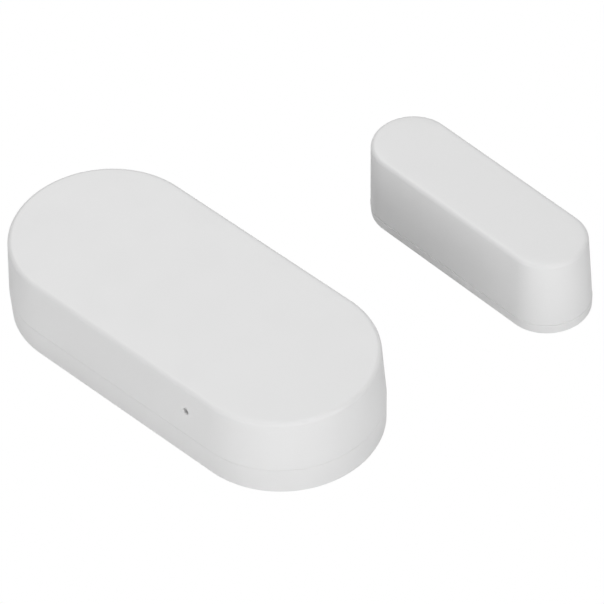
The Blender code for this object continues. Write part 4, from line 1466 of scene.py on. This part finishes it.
@dataclass
class MainBoard:
    """Green board round the end of the cells, with its tracks, print, pads and screws."""

    half: float = 14.1 * MM
    arc_x: float = 19.65 * MM
    tongue_y: float = 11.1 * MM
    switch_end: float = 11.0 * MM
    inner: float = 21.27 * MM
    corner: float = 0.5 * MM
    track: float = 0.3 * MM
    print_line: float = 0.15 * MM

    def board(self, low: Array, high: Array) -> Piece:
        """Board: its outline at two heights, with holes for screws and reed leads.

        Args:
            low: Lowest corner of the board.
            high: Highest corner of the board.

        Returns:
            The board.
        """
        corners = [
            (self.arc_x, self.half),
            (low[0], self.half),
            (low[0], self.tongue_y),
            (self.inner, self.tongue_y),
            (self.inner, -self.tongue_y),
            (self.switch_end, -self.tongue_y),
            (self.switch_end, -self.half),
            (self.arc_x, -self.half),
        ]
        angle = np.linspace(-HALF_TURN / 2, HALF_TURN / 2, 73)[1:-1]
        arc = np.stack([self.arc_x + self.half * np.cos(angle), self.half * np.sin(angle)], axis=1)
        outline = np.concatenate([rounded(np.array(corners), self.corner, 6), arc])
        rings = np.stack([np.column_stack([outline, np.full(len(outline), z)]) for z in (low[2], high[2])])
        board = skin("main_board", rings)
        holes = [(*self.middle(f"board_screw_{number}"), 1.2) for number in (1, 2)]
        low_a, high_b = span("reed_lead_a")[0], span("reed_lead_b")[1]
        wire = 0.25 * MM
        holes += [(low_a[0] + wire, self.reed_y(), 0.5), (high_b[0] - wire, self.reed_y(), 0.5)]
        cutters = []
        for x, y, radius in holes:
            profile = [(low[2] - MM, radius * MM), (high[2] + MM, radius * MM)]
            cutters.append(turned("hole", profile, Axis.Z, Place(x, y), 40))
        return carve(board, cutters)

    @staticmethod
    def middle(node: str) -> tuple[float, float]:
        """Middle of a node's box in X and Y."""
        low, high = span(node)
        return (low[0] + high[0]) / 2, (low[1] + high[1]) / 2

    @staticmethod
    def reed_y() -> float:
        """Y of the reed switch's axis."""
        return MainBoard.middle("reed_glass")[1]

    def lines(
        self, name: str, paths: list[list[tuple[float, float]]], width: float, z: float, rise: float
    ) -> Piece:
        """Flat strips along paths given in millimetres, on a level."""
        strips = [
            skin(f"{name}_{number}", ribbon(np.array(path) * MM, width, z - 0.05 * MM, z + rise))
            for number, path in enumerate(paths)
        ]
        return merge(name, strips)

    def frame_path(self, node: str, gap: float) -> list[tuple[float, float]]:
        """Printed rectangle round a part, a little open at one corner, in millimetres."""
        low, high = (corner / MM for corner in span(node))
        left, right, near, far = low[0] - gap, high[0] + gap, low[1] - gap, high[1] + gap
        return [(left, near), (right, near), (right, far), (left, far), (left, near + 0.3)]

    def screw(self, node: str, steel: Material) -> None:
        """Pan-head screw: a rounded head with a cross recess and a threaded shank.

        On the shank the radius is the core plus the thread's depth times a triangle wave of
        (height / pitch - angle / full turn).

        Args:
            node: Frame node that it stands for.
            steel: Its finish.
        """
        low, high = span(node)
        x, y = self.middle(node)
        head = (high[0] - low[0]) / 2
        seat = high[2] - 1.2 * MM
        steps, pitch = 48, 0.7 * MM
        z = np.linspace(low[2], seat, 8 * int((seat - low[2]) / pitch))
        angle = np.arange(steps) * TURN / steps
        wave = np.abs(((z[:, None] / pitch - angle / TURN) % 1) * 2 - 1)
        core = np.minimum(0.7, 0.35 + (z - low[2]) / MM * 0.5) * MM
        radius = core[:, None] + wave * 0.24 * MM
        up = np.broadcast_to(z[:, None], radius.shape)
        shank = np.stack([radius * np.cos(angle), radius * np.sin(angle), up], axis=-1)
        corners = [(seat, 0.5 * MM), (seat, head), (seat + 0.65 * MM, head)]
        corners += [(high[2], head * 0.55), (high[2], 0.02 * MM)]
        cap = turned_rings(rounded(np.array(corners), [0, 0.0001, 0.0003, 0.0006, 0], 5), Axis.Z, steps)
        body = skin(f"{node}_pan_head", np.concatenate([shank, cap]), Place(x, y))
        arms = []
        for size in ((2.1, 0.62), (0.62, 2.1)):
            levels = np.array([(0.14, high[2] / MM - 0.65), (0, high[2] / MM + 0.2)]) * MM
            outer = (size[0] * MM, size[1] * MM)
            arms.append(skin("arm", block_rings(outer, 0.2 * MM, levels, 3), Place(x, y, 0, 0.4)))
        fit(even_shading(carve(body, arms)), "sensor_unit", steel, "screw_steel", node)

    def build(self, looks: "Finishes") -> None:
        """Build and dress the board, its tracks, print and screws.

        Args:
            looks: Every finish.
        """
        low, high = span("circuit_board")
        top = high[2]
        fit(self.board(low, high), "sensor_unit", looks.board, "board_laminate", "circuit_board")
        tracks = [
            [(12.0, -11.7), (11.39, -12.3), (11.4, -13.5), (12.6, -13.7)],
            [(16.9, -13.0), (17.6, -13.0), (17.8, -12.6)],
            [(16.6, -11.6), (20.3, -11.6), (20.9, -12.2)],
            [(19.4, -12.6), (20.5, -12.6)],
            [(22.1, -12.6), (23.2, -12.6), (23.6, -12.2)],
            [(21.9, -7.6), (23.3, -6.3)],
            [(22.0, -4.3), (23.3, -3.2)],
            [(22.0, 4.3), (23.3, 3.2)],
            [(21.9, 7.6), (23.3, 6.3)],
            [(22.9, 9.6), (21.8, 10.6), (21.0, 11.5), (18.9, 11.9)],
            [(23.6, 12.9), (22.8, 13.4), (19.6, 13.4)],
            [(28.1, 8.6), (28.9, 9.2), (28.3, 10.4)],
            [(28.1, -8.6), (28.9, -9.2), (28.3, -10.4)],
            [(4.0, 11.6), (16.8, 11.6)],
            [(3.6, 13.6), (17.6, 13.6)],
            [(31.7, -4.0), (32.4, 0.0), (31.7, 4.0)],
        ]
        copper = self.lines("board_tracks", tracks, self.track, top, 0.02 * MM)
        fit(copper, "sensor_unit", looks.track, "board_laminate")
        framed = ("status_led", "resistor_1", "resistor_2", "resistor_3")
        marks = [self.frame_path(node, 0.3) for node in framed]
        marks += [self.frame_path(node, 0.3) for node in ("ceramic_capacitor_1", "ceramic_capacitor_2")]
        marks += [
            [(4.6, 11.35), (17.0, 11.35)],
            [(4.6, 13.85), (17.0, 13.85)],
            [(22.0, -3.0), (22.9, -3.0)],
            [(22.45, -3.45), (22.45, -2.55)],
            [(22.0, 3.0), (22.9, 3.0)],
        ]
        white = self.lines("board_print", marks, self.print_line, top, 0.03 * MM)
        fit(white, "sensor_unit", looks.ink, "pale_plastic")
        rings = []
        for number in (1, 2):
            x, y = self.middle(f"board_screw_{number}")
            profile = [(top - 0.05 * MM, 1.25 * MM), (top - 0.05 * MM, 2.1 * MM)]
            profile += [(top + 0.03 * MM, 2.1 * MM), (top + 0.03 * MM, 1.25 * MM)]
            rings.append(turned("ring", profile, Axis.Z, Place(x, y), 48, True))
            self.screw(f"board_screw_{number}", looks.screw)
        fit(merge("board_screw_pads", rings), "sensor_unit", looks.solder, "spring_steel")


@dataclass
class RadioModule:
    """Dark blue board soldered on the main one, with a pierced shield and a gold trace aerial."""

    sheet: float = 0.2 * MM
    pad_pitch: float = 1.27 * MM

    def build(self, looks: "Finishes") -> None:
        """Build and dress the module.

        Args:
            looks: Every finish.
        """
        low, high = span("radio_board")
        seat = low.copy()
        seat[2] -= 0.09 * MM
        board = block("radio_module_board", seat, high, 0.02 * MM)
        rows = (np.arange(9) - 4) * self.pad_pitch
        bites = [
            turned("bite", [(seat[2] - MM, 0.0003), (high[2] + MM, 0.0003)], Axis.Z, Place(low[0], y), 20)
            for y in rows
        ]
        fit(carve(board, bites), "sensor_unit", looks.radio, "radio_laminate", "radio_board")
        pads = []
        for number, y in enumerate(rows):
            corner = (low[0] + 0.28 * MM, y - 0.38 * MM, high[2] - 0.05 * MM)
            far = (low[0] + 0.42 * MM, y + 0.38 * MM, high[2] + 0.02 * MM)
            pads.append(block(f"pad_{number}", corner, far, 0.01 * MM))
        fit(merge("radio_pads", pads), "sensor_unit", looks.gold, "aerial_copper")
        solder = [
            dome(
                f"joint_{number}",
                (low[0] - 0.02 * MM, y, seat[2]),
                (0.55 * MM, 0.3 * MM, 0.33 * MM),
                Axis.Z,
                16,
            )
            for number, y in enumerate(rows)
        ]
        fit(merge("radio_joints", solder), "sensor_unit", looks.solder, "spring_steel")
        self.shield(high[2], looks.shield)
        self.aerial(high[2], looks.gold)

    def shield(self, seat: float, steel: Material) -> None:
        """Drawn can open below, pierced by two rows of small holes.

        Args:
            seat: Top of the module's board.
            steel: Its finish.
        """
        low, high = span("radio_shield")
        size = (high[0] - low[0], high[1] - low[1])
        corners = [
            (self.sheet + MM, high[2] - self.sheet),
            (self.sheet, high[2] - self.sheet),
            (self.sheet, seat),
            (0, seat),
            (0, high[2]),
            (MM, high[2]),
        ]
        levels = rounded(np.array(corners), [0, 0.0001, 0.00003, 0.00003, 0.0003, 0], 5)
        x, y = (low[0] + high[0]) / 2, (low[1] + high[1]) / 2
        can = skin("shield_can", block_rings(size, 0.7 * MM, levels), Place(x, y))
        holes = []
        for side in (-1, 1):
            for row in range(5):
                spot = Place(x + side * 1.5 * MM, y + (row - 2) * 2.0 * MM)
                profile = [(high[2] - MM, 0.0003), (high[2] + MM, 0.0003)]
                holes.append(turned("vent", profile, Axis.Z, spot, 20))
        fit(even_shading(carve(can, holes)), "sensor_unit", steel, "shield_steel", "radio_shield")

    @staticmethod
    def aerial(seat: float, gold: Material) -> None:
        """Folded trace: a path that runs out and back ten times, drawn as an even strip.

        Args:
            seat: Top of the module's board.
            gold: Its finish.
        """
        low, high = span("radio_antenna")
        width, runs = 0.5 * MM, 10
        near, far = low[0] + width / 2, high[0] - width / 2
        rows = np.linspace(low[1] + width / 2, high[1] - width / 2, runs)
        odd = np.arange(runs) % 2
        x = np.stack([np.where(odd, far, near), np.where(odd, near, far)], axis=1)
        path = np.stack([x, np.repeat(rows[:, None], 2, axis=1)], axis=-1).reshape(-1, 2)
        route = rounded(path, 0.3 * MM, 6)
        strip = ribbon(route, width, seat - 0.05 * MM, high[2] - 0.05 * MM)
        trace = skin("folded_aerial", strip)
        fit(trace, "sensor_unit", gold, "aerial_copper", "radio_antenna")


@dataclass
class ReedSwitch:
    """Sealed glass tube with two flattened blades whose leads turn down into the board."""

    wire: float = 0.25 * MM
    bend: float = 0.6 * MM
    blade: tuple[float, float] = (0.45 * MM, 0.1 * MM)
    offset: float = 0.15 * MM
    overlap: float = 1.0 * MM

    def lead(self, node: str, side: int, centre: Array, steel: Material, half: float) -> None:
        """One lead: an ellipse carried along a path in the XZ plane, round outside, flat inside.

        Args:
            node: Frame node that it stands for.
            side: -1 or 1, the end that it comes out of.
            centre: Middle of the tube.
            steel: Its finish.
            half: Half the glass tube's length.
        """
        low, high = span(node)
        far = abs((low[0] if side < 0 else high[0]) - centre[0]) - self.wire
        turn = np.linspace(0, HALF_TURN / 2, 9)
        bend_x = far - self.bend * (1 - np.cos(turn))
        bend_z = -self.bend * (1 - np.sin(turn))
        rise = side * self.offset
        x = np.concatenate([[far], bend_x, [half - 1.2 * MM, half - 2 * MM, 0.0, -self.overlap / 2]])
        z = np.concatenate([[low[2] - centre[2]], bend_z, [0, rise, rise, rise]])
        wide = np.concatenate([np.full(11, self.wire), np.full(3, self.blade[0])])
        thick = np.concatenate([np.full(11, self.wire), np.full(3, self.blade[1])])
        along = np.stack([np.gradient(x), np.gradient(z)], axis=1)
        along /= np.linalg.norm(along, axis=1, keepdims=True)
        around = np.arange(16) * TURN / 16
        out = thick[:, None] * np.sin(around)
        rings = np.empty((len(x), 16, 3))
        rings[..., 0] = centre[0] + side * (x[:, None] - along[:, 1:] * out)
        rings[..., 1] = centre[1] + wide[:, None] * np.cos(around)
        rings[..., 2] = centre[2] + z[:, None] + along[:, :1] * out
        fit(skin(f"{node}_blade", rings), "sensor_unit", steel, "spring_steel", node)

    def build(self, looks: "Finishes") -> None:
        """Build and dress the tube, its leads and their joints.

        Args:
            looks: Every finish.
        """
        low, high = span("reed_glass")
        centre = (low + high) / 2
        half, radius = (high[0] - low[0]) / 2, (high[1] - low[1]) / 2
        bore, mouth = 0.74 * MM, self.wire + 0.01 * MM
        corners = [
            (-half, mouth),
            (-half, 0.65 * radius),
            (-half + 0.9 * MM, radius),
            (half - 0.9 * MM, radius),
            (half, 0.65 * radius),
            (half, mouth),
            (half - 1.1 * MM, mouth),
            (half - 1.7 * MM, bore),
            (-half + 1.7 * MM, bore),
            (-half + 1.1 * MM, mouth),
        ]
        radii = np.array([0.05, 0.3, 0.6, 0.6, 0.3, 0.05, 0.1, 0.2, 0.2, 0.1]) * MM
        section = rounded(np.array(corners), radii, 6, True)
        tube = turned("reed_tube", section, Axis.X, Place(*centre), 64, True)
        fit(tube, "sensor_unit", looks.glass, "reed_glass", "reed_glass")
        self.lead("reed_lead_a", -1, centre, looks.spring, half)
        self.lead("reed_lead_b", 1, centre, looks.spring, half)
        top = span("circuit_board")[1][2]
        joints = []
        for node, side in (("reed_lead_a", 0), ("reed_lead_b", 1)):
            x = span(node)[side][0] + (self.wire if side == 0 else -self.wire)
            fillet = [(-0.05, 0.85), (0.0, 0.85), (0.12, 0.62), (0.35, 0.38), (0.6, 0.27), (0.6, 0.05)]
            profile = np.array(fillet) * MM
            joints.append(turned("joint", profile, Axis.Z, Place(x, centre[1], top), 32))
        fit(merge("reed_joints", joints), "sensor_unit", looks.solder, "spring_steel")


@dataclass
class SetupSwitch:
    """Side-push switch behind the pinhole: a black housing, a steel cover and its plunger."""

    cover: float = 0.15 * MM
    play: float = 0.2 * MM
    travel: float = 0.3 * MM

    def build(self, looks: "Finishes") -> None:
        """Build and dress the switch.

        Args:
            looks: Every finish.
        """
        low, high = span("setup_switch_body")
        stem_low, stem_high = span("setup_switch_plunger")
        edge = 0.1 * MM
        housing = block("switch_housing", low, high - np.array([0, 0, self.cover]), edge)
        socket_low = (stem_low[0] - self.play, low[1] - MM, stem_low[2] - self.play)
        room = self.play + self.travel
        socket_high = (stem_high[0] + self.play, stem_high[1] + room, stem_high[2] + self.play)
        carve(housing, [block("socket", socket_low, socket_high, 0.05 * MM)])
        fit(even_shading(housing), "sensor_unit", looks.chip, "chip_black", "setup_switch_body")
        lid = [
            block(
                "lid",
                (low[0] - 0.02 * MM, low[1] + edge, high[2] - self.cover),
                (high[0] + 0.02 * MM, high[1] - edge, high[2]),
                0.06 * MM,
            )
        ]
        for side, x in ((-1, low[0]), (1, high[0])):
            inner, outer = sorted((x, x + side * 0.12 * MM))
            flank_low = (inner, low[1] + 0.4 * MM, low[2] + 0.3 * MM)
            flank_high = (outer, high[1] - 0.4 * MM, high[2] - 0.03 * MM)
            lid.append(block("flank", flank_low, flank_high, 0.02 * MM))
            for y in (low[1] + 0.35 * MM, high[1] - 0.35 * MM):
                foot_low, foot_high = sorted((x, x + side * 0.55 * MM))
                start = (foot_low, y - 0.2 * MM, low[2] - 0.08 * MM)
                end = (foot_high, y + 0.2 * MM, low[2] + 0.1 * MM)
                lid.append(block("foot", start, end, 0.03 * MM))
        fit(merge("switch_lid", lid), "sensor_unit", looks.shield, "shield_steel")
        stem = block("switch_plunger", stem_low, stem_high, 0.12 * MM, 0.12 * MM)
        fit(stem, "setup_button", looks.pale, "pale_plastic", "setup_switch_plunger")


@dataclass
class SmallParts:
    """Chips, lamp, regulator and capacitor of the main board."""

    cap: float = 0.35 * MM
    skin_depth: float = 0.02 * MM

    def chip(self, node: str, body: Material, slot: str, tin: Material) -> None:
        """Chip part: a body between two tinned end caps that stand in solder.

        Args:
            node: Frame node that it stands for.
            body: Finish of the body.
            slot: Material slot of the body.
            tin: Finish of the caps.
        """
        low, high = span(node)
        low[2] -= 0.08 * MM
        shy = np.array([self.cap * 0.5, self.skin_depth, 0])
        core = block(f"{node}_body", low + shy, high - shy - np.array([0, 0, self.skin_depth]), 0.04 * MM)
        fit(core, "sensor_unit", body, slot, node)
        ends = [
            block("cap", low, (low[0] + self.cap, high[1], high[2]), 0.05 * MM),
            block("cap", (high[0] - self.cap, low[1], low[2]), high, 0.05 * MM),
        ]
        middle = (low[1] + high[1]) / 2
        half = (high[1] - low[1]) / 2
        for x in (low[0], high[0]):
            spot = (x, middle, low[2] - 0.01 * MM)
            ends.append(dome("fillet", spot, (0.28 * MM, 0.32 * MM, half), Axis.Z, 20))
        fit(merge(f"{node}_ends", ends), "sensor_unit", tin, "spring_steel")

    def regulator(self, body: Material, tin: Material) -> None:
        """Small moulded chip with three bent legs: each a strip bent down and out.

        Args:
            body: Finish of the moulding.
            tin: Finish of the legs.
        """
        low, high = span("voltage_regulator")
        levels = np.array([(0.08, 0.0), (0.0, 0.4), (0.12, 1.0)]) * MM
        levels[:, 1] += low[2]
        size = (high[0] - low[0], high[1] - low[1])
        x, y = (low[0] + high[0]) / 2, (low[1] + high[1]) / 2
        core = skin("regulator_body", block_rings(size, 0.06 * MM, levels, 3), Place(x, y))
        fit(core, "sensor_unit", body, "chip_black", "voltage_regulator")
        legs = []
        for side, spots in ((-1, (-0.95, 0.95)), (1, (0.0,))):
            for spot in spots:
                start = size[1] / 2 - 0.05 * MM
                bends = ((0.0, 0.45), (0.25 * MM, 0.45), (0.35 * MM, 0.0), (0.7 * MM, 0.0))
                line = [(start + out, up) for out, up in bends]
                line = np.array([(y + side * far, low[2] + rise * MM) for far, rise in line])
                path = rounded(line, 0.08 * MM, 4)
                rings = ribbon(path, 0.12 * MM, -0.2 * MM, 0.2 * MM)
                legs.append(skin("leg", upright(rings, Axis.X) + np.array([x + spot * MM, 0, 0])))
        fit(merge("regulator_legs", legs), "sensor_unit", tin, "spring_steel")

    def lamp(self, looks: "Finishes") -> None:
        """Status lamp: a white base with tinned ends and a clear domed lens.

        Args:
            looks: Every finish.
        """
        low, high = span("status_led")
        low[2] -= 0.08 * MM
        base_top = low[2] + 0.3 * MM
        base = block("lamp_base", low, (high[0], high[1], base_top), 0.03 * MM)
        fit(base, "sensor_unit", looks.pale, "pale_plastic")
        shy = np.array([0.25 * MM, 0.08 * MM, 0])
        foot = low + shy
        foot[2] = base_top - 0.02 * MM
        lens = block("lamp_lens", foot, high - shy, 0.16 * MM, 0.2 * MM)
        fit(lens, "sensor_unit", looks.lens, "pale_plastic", "status_led")
        ends = [
            block("lamp_end", low - 0.01 * MM, (low[0] + 0.2 * MM, high[1], base_top + 0.02 * MM), 0.02 * MM),
            block(
                "lamp_end",
                (high[0] - 0.2 * MM, low[1], low[2]),
                (high[0] + 0.01 * MM, high[1], base_top + 0.02 * MM),
                0.02 * MM,
            ),
        ]
        fit(merge("lamp_ends", ends), "sensor_unit", looks.gold, "aerial_copper")

    def capacitor(self, can: Material) -> None:
        """Drawn can that hangs below the board, with a rolled groove near its seal.

        Args:
            can: Its finish.
        """
        low, high = span("bulk_capacitor")
        radius = (high[0] - low[0]) / 2
        neck = high[2] - 1.3 * MM
        deep = 0.35 * MM
        corners = [
            (low[2], 0.02 * MM),
            (low[2], radius),
            (neck - 2 * deep, radius),
            (neck - deep, radius - deep),
            (neck, radius),
            (high[2] + 0.08 * MM, radius),
            (high[2] + 0.08 * MM, 0.02 * MM),
        ]
        radii = np.array([0, 0.3, 0.15, 0.15, 0.15, 0.2, 0]) * MM
        middle = Place(*MainBoard.middle("bulk_capacitor"))
        piece = turned("capacitor_can", rounded(np.array(corners), radii, 5), Axis.Z, middle, 72)
        fit(piece, "sensor_unit", can, "capacitor_can", "bulk_capacitor")

    def build(self, looks: "Finishes") -> None:
        """Build and dress them all.

        Args:
            looks: Every finish.
        """
        for number in (1, 2, 3):
            self.chip(f"resistor_{number}", looks.chip, "chip_black", looks.solder)
        for number in (1, 2):
            self.chip(f"ceramic_capacitor_{number}", looks.ceramic, "ceramic_tan", looks.solder)
        self.regulator(looks.chip, looks.solder)
        self.lamp(looks)
        self.capacitor(looks.can)


@dataclass
class MagnetHolder:
    """Cradle of the magnet unit's base, and the plated bar magnet in it."""

    place: Place
    gap: float = 0.3 * MM
    wall: float = 1.0 * MM
    cheek: float = 2.4 * MM
    leg: float = 1.6 * MM
    shelf: float = 1.0 * MM

    def bar_size(self) -> tuple[float, float]:
        """Length and width of the bar, got back from the box of the turned bar."""
        low, high = span("magnet_bar")
        cos, sin = math.cos(self.place.yaw), abs(math.sin(self.place.yaw))
        wide, deep = high[0] - low[0], high[1] - low[1]
        share = cos * cos - sin * sin
        return (wide * cos - deep * sin) / share, (deep * cos - wide * sin) / share

    def cradle(self, base: Piece, floor: float, lip_top: float) -> Piece:
        """Add the cradle to the base: an outer block, a pocket for the bar, and a bridge opening.

        Args:
            base: The base's shell.
            floor: Top of its floor.
            lip_top: Top of its lip.

        Returns:
            The base.
        """
        low, _ = span("magnet_bar")
        length, width = self.bar_size()
        half_x, half_y = length / 2 + self.gap, width / 2 + self.gap
        outer_x, outer_y = half_x + self.wall, half_y + self.wall
        seat, rim = low[2] - self.gap, low[2] + self.cheek
        edge = 0.25 * MM
        foot = (-outer_x, -outer_y, floor - 0.2 * MM)
        frame_block = block("cradle", foot, (outer_x, outer_y, rim), edge, 0.6 * MM, self.place)
        carve(base, [frame_block], Blend.ADD)
        mouth = (half_x, half_y, rim + 2 * MM)
        pocket = block("pocket", (-half_x, -half_y, seat), mouth, 0.1 * MM, 0.3 * MM, self.place)
        under = (outer_x - self.leg, outer_y + MM)
        bridge = block(
            "bridge",
            (-under[0], -under[1], lip_top + self.gap),
            (under[0], under[1], seat - self.shelf),
            0.3 * MM,
            0.3 * MM,
            self.place,
        )
        return carve(base, [pocket, bridge])

    def bar(self, nickel: Material) -> None:
        """Bar magnet with small rounded edges.

        Args:
            nickel: Its finish.
        """
        low, high = span("magnet_bar")
        length, width = self.bar_size()
        piece = block(
            "bar_magnet",
            (-length / 2, -width / 2, low[2]),
            (length / 2, width / 2, high[2]),
            0.35 * MM,
            0.4 * MM,
            self.place,
        )
        fit(piece, "magnet_unit", nickel, "magnet_nickel", "magnet_bar")


def look(paint: type, *values: object, **named: float) -> Material:
    """Field of Finishes whose finish is built together with it.

    Args:
        paint: Kind of finish.
        *values: Its settings, in its own order.
        **named: Settings given by name.

    Returns:
        The dataclass field.
    """
    return field(default_factory=lambda: paint(*values, **named).make())


@dataclass
class Finishes:
    """Every finish, made once."""

    case: Material = look(Moulding, "case_plastic", (0.80, 0.80, 0.80))
    tray: Material = look(Moulding, "tray_plastic", (0.022, 0.022, 0.024), 0.42, 3800.0, 0.000008, 0.25, 0.05)
    foam: Material = look(FoamTape)
    wrap: Material = look(CellWrap)
    spring: Material = look(Metal, "spring_steel", (0.70, 0.68, 0.63), (0.52, 0.48, 0.42), 0.22)
    screw: Material = look(Metal, "screw_steel", (0.58, 0.59, 0.60), (0.40, 0.40, 0.38), 0.30)
    shield: Material = look(
        Metal, "shield_steel", (0.72, 0.72, 0.71), (0.58, 0.57, 0.54), 0.34, depth=0.000004
    )
    solder: Material = look(Metal, "solder_tin", (0.74, 0.75, 0.76), (0.55, 0.55, 0.55), 0.20, 3000.0, 1.0)
    gold: Material = look(Metal, "aerial_copper", (0.83, 0.60, 0.26), (0.66, 0.43, 0.18), 0.26)
    nickel: Material = look(
        Metal,
        "magnet_nickel",
        (0.66, 0.65, 0.63),
        (0.54, 0.52, 0.48),
        0.30,
        5200.0,
        0.05,
        0.0000004,
        0.2,
    )
    can: Material = look(Metal, "capacitor_can", (0.78, 0.78, 0.79), (0.66, 0.66, 0.66), 0.30)
    board: Material = look(BoardLaminate, "board_laminate", (0.010, 0.115, 0.040))
    track: Material = look(BoardLaminate, "board_track", (0.030, 0.230, 0.080), (0.03, 0.23, 0.08))
    radio: Material = look(BoardLaminate, "radio_laminate", (0.006, 0.016, 0.075))
    ink: Material = look(Moulding, "board_ink", (0.72, 0.72, 0.70), 0.55, 6000.0, 0.000003, 0.12)
    chip: Material = look(Moulding, "chip_black", (0.020, 0.020, 0.022), 0.48, 6500.0, 0.000005, 0.3)
    pale: Material = look(Moulding, "pale_plastic", (0.70, 0.67, 0.54), 0.36, 5200.0, 0.000002, 0.06)
    ceramic: Material = look(Moulding, "ceramic_tan", (0.42, 0.27, 0.15), 0.40, 5200.0, 0.000005, 0.2)
    glass: Material = look(SealedGlass)
    lens: Material = look(SealedGlass, "lamp_lens", (0.95, 0.93, 0.80))


# ---------------------------------------------------------------- studio


@dataclass(frozen=True)
class Softbox:
    """A round area light aimed at the object from a direction."""

    name: str
    azimuth: float
    elevation: float
    power: float
    distance: float = 0.6
    size: float = 0.35

    def place(self, target: Vector) -> None:
        """Put the light in the scene.

        Args:
            target: Point that it shines at.
        """
        data = bpy.data.lights.new(self.name, "AREA")
        data.shape = "DISK"
        data.size = self.size
        data.energy = self.power
        back = direction(self.azimuth, self.elevation)
        light = bpy.data.objects.new(self.name, data)
        light.location = target + back * self.distance
        light.rotation_euler = back.to_track_quat("Z", "Y").to_euler()
        bpy.context.scene.collection.objects.link(light)


def direction(azimuth: float, elevation: float) -> Vector:
    """Unit vector towards an azimuth, from -Y towards +X, and an elevation, in degrees."""
    turn, rise = math.radians(azimuth), math.radians(elevation)
    return Vector((math.sin(turn) * math.cos(rise), -math.cos(turn) * math.cos(rise), math.sin(rise)))


@dataclass
class Studio:
    """Pale floor, even white surroundings, softboxes and the camera."""

    target: Vector = field(default_factory=lambda: Vector((0.00305, 0.02075, 0.0)))
    azimuth: float = 46.91
    elevation: float = 44.45
    roll: float = -3.30
    distance: float = 0.95655
    lens: float = 352.78
    surroundings: float = 0.1
    floor_half: float = 0.6
    lights: tuple[Softbox, ...] = (
        Softbox("right", 90.0, 25.0, power=1.27),
        Softbox("left_back", 240.0, 50.0, power=1.55),
        Softbox("overhead", 45.0, 75.0, power=1.11),
        Softbox("low_front", 0.0, 8.0, power=0.93),
        Softbox("low_right", 30.0, 8.0, power=0.72),
    )

    def camera(self) -> None:
        """Camera that looks at the target, turned about its own line of sight by the roll."""
        back = direction(self.azimuth, self.elevation)
        turn, roll = math.radians(self.azimuth), math.radians(self.roll)
        right = Vector((math.cos(turn), math.sin(turn), 0.0))
        above = back.cross(right)
        side = right * math.cos(roll) + above * math.sin(roll)
        data = bpy.data.cameras.new("camera")
        data.lens = self.lens
        data.clip_start = 0.01
        camera = bpy.data.objects.new("camera", data)
        spot = self.target + back * self.distance
        axes = (side, back.cross(side), back)
        camera.matrix_world = Matrix.Translation(spot) @ Matrix(axes).transposed().to_4x4()
        bpy.context.scene.collection.objects.link(camera)
        bpy.context.scene.camera = camera

    def floor(self) -> None:
        """Plain pale floor that the camera sees as even white."""
        half = self.floor_half
        corners = np.array([(-half, -half, 0), (half, -half, 0), (half, half, 0), (-half, half, 0)])
        floor = mesh_piece("floor", corners, [[0, 1, 2, 3]])
        paint = Paint("pale_floor", Roughness=0.8)
        paint.shader.inputs["Base Color"].default_value = (0.8, 0.8, 0.8, 1.0)
        glow = paint.tree.nodes.new("ShaderNodeEmission")
        seen = paint.tree.nodes.new("ShaderNodeLightPath")
        mix = paint.tree.nodes.new("ShaderNodeMixShader")
        leave = paint.tree.nodes["Material Output"]
        paint.feed(seen.outputs["Is Camera Ray"], mix.inputs["Fac"])
        paint.feed(paint.shader.outputs[0], mix.inputs[1])
        paint.feed(glow.outputs[0], mix.inputs[2])
        paint.feed(mix.outputs[0], leave.inputs["Surface"])
        floor.data.materials.append(paint.material)

    def world(self) -> None:
        """Surroundings that look white and light the object faintly and evenly."""
        world = bpy.data.worlds.new("white_surroundings")
        world.use_nodes = True
        tree = world.node_tree
        faint = tree.nodes["Background"]
        faint.inputs["Color"].default_value = (1.0, 1.0, 1.0, 1.0)
        faint.inputs["Strength"].default_value = self.surroundings
        white = tree.nodes.new("ShaderNodeBackground")
        white.inputs["Color"].default_value = (1.0, 1.0, 1.0, 1.0)
        seen = tree.nodes.new("ShaderNodeLightPath")
        mix = tree.nodes.new("ShaderNodeMixShader")
        tree.links.new(seen.outputs["Is Camera Ray"], mix.inputs["Fac"])
        tree.links.new(faint.outputs[0], mix.inputs[1])
        tree.links.new(white.outputs[0], mix.inputs[2])
        tree.links.new(mix.outputs[0], tree.nodes["World Output"].inputs["Surface"])
        bpy.context.scene.world = world

    def build(self) -> None:
        """Set up the studio."""
        bpy.context.scene.view_settings.view_transform = "Standard"
        self.camera()
        self.floor()
        self.world()
        for light in self.lights:
            light.place(Vector((0.0, self.target.y, 0.0)))


# ---------------------------------------------------------------- assembly

MAGNET_YAW = math.radians(-2.9)


def main() -> None:
    """Build everything in order."""
    logging.basicConfig(level=logging.INFO, format="%(message)s")
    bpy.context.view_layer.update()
    looks = Finishes()
    sensor = sensor_case()
    fittings = SensorFittings()
    hole_z = sum(corner[2] for corner in span("setup_switch_plunger")) / 2
    sensor.tools.append(fittings.pinhole(sensor.lean(hole_z) - sensor.width / 2))
    sensor.ribs.append(fittings.keel())
    base = fittings.posts(sensor.base(), sensor.pad_proud + sensor.floor, 8.1 * MM)
    sensor.dress(sensor.cover(), base, looks.case, looks.foam)
    magnet = magnet_case(MAGNET_YAW)
    holder = MagnetHolder(magnet.place)
    base = holder.cradle(magnet.base(), magnet.pad_proud + magnet.floor, magnet.lip_top)
    magnet.dress(magnet.cover(), base, looks.case, looks.foam)
    holder.bar(looks.nickel)
    BatteryTray().build(looks.tray)
    for node, way in (("battery_1", 1), ("battery_2", -1)):
        Cell(node, way).build(looks.wrap, looks.spring, looks.tray)
    Contacts().build(looks.spring, looks.solder)
    MainBoard().build(looks)
    RadioModule().build(looks)
    ReedSwitch().build(looks)
    SetupSwitch().build(looks)
    SmallParts().build(looks)
    Studio().build()


if __name__ == "__main__":
    main()
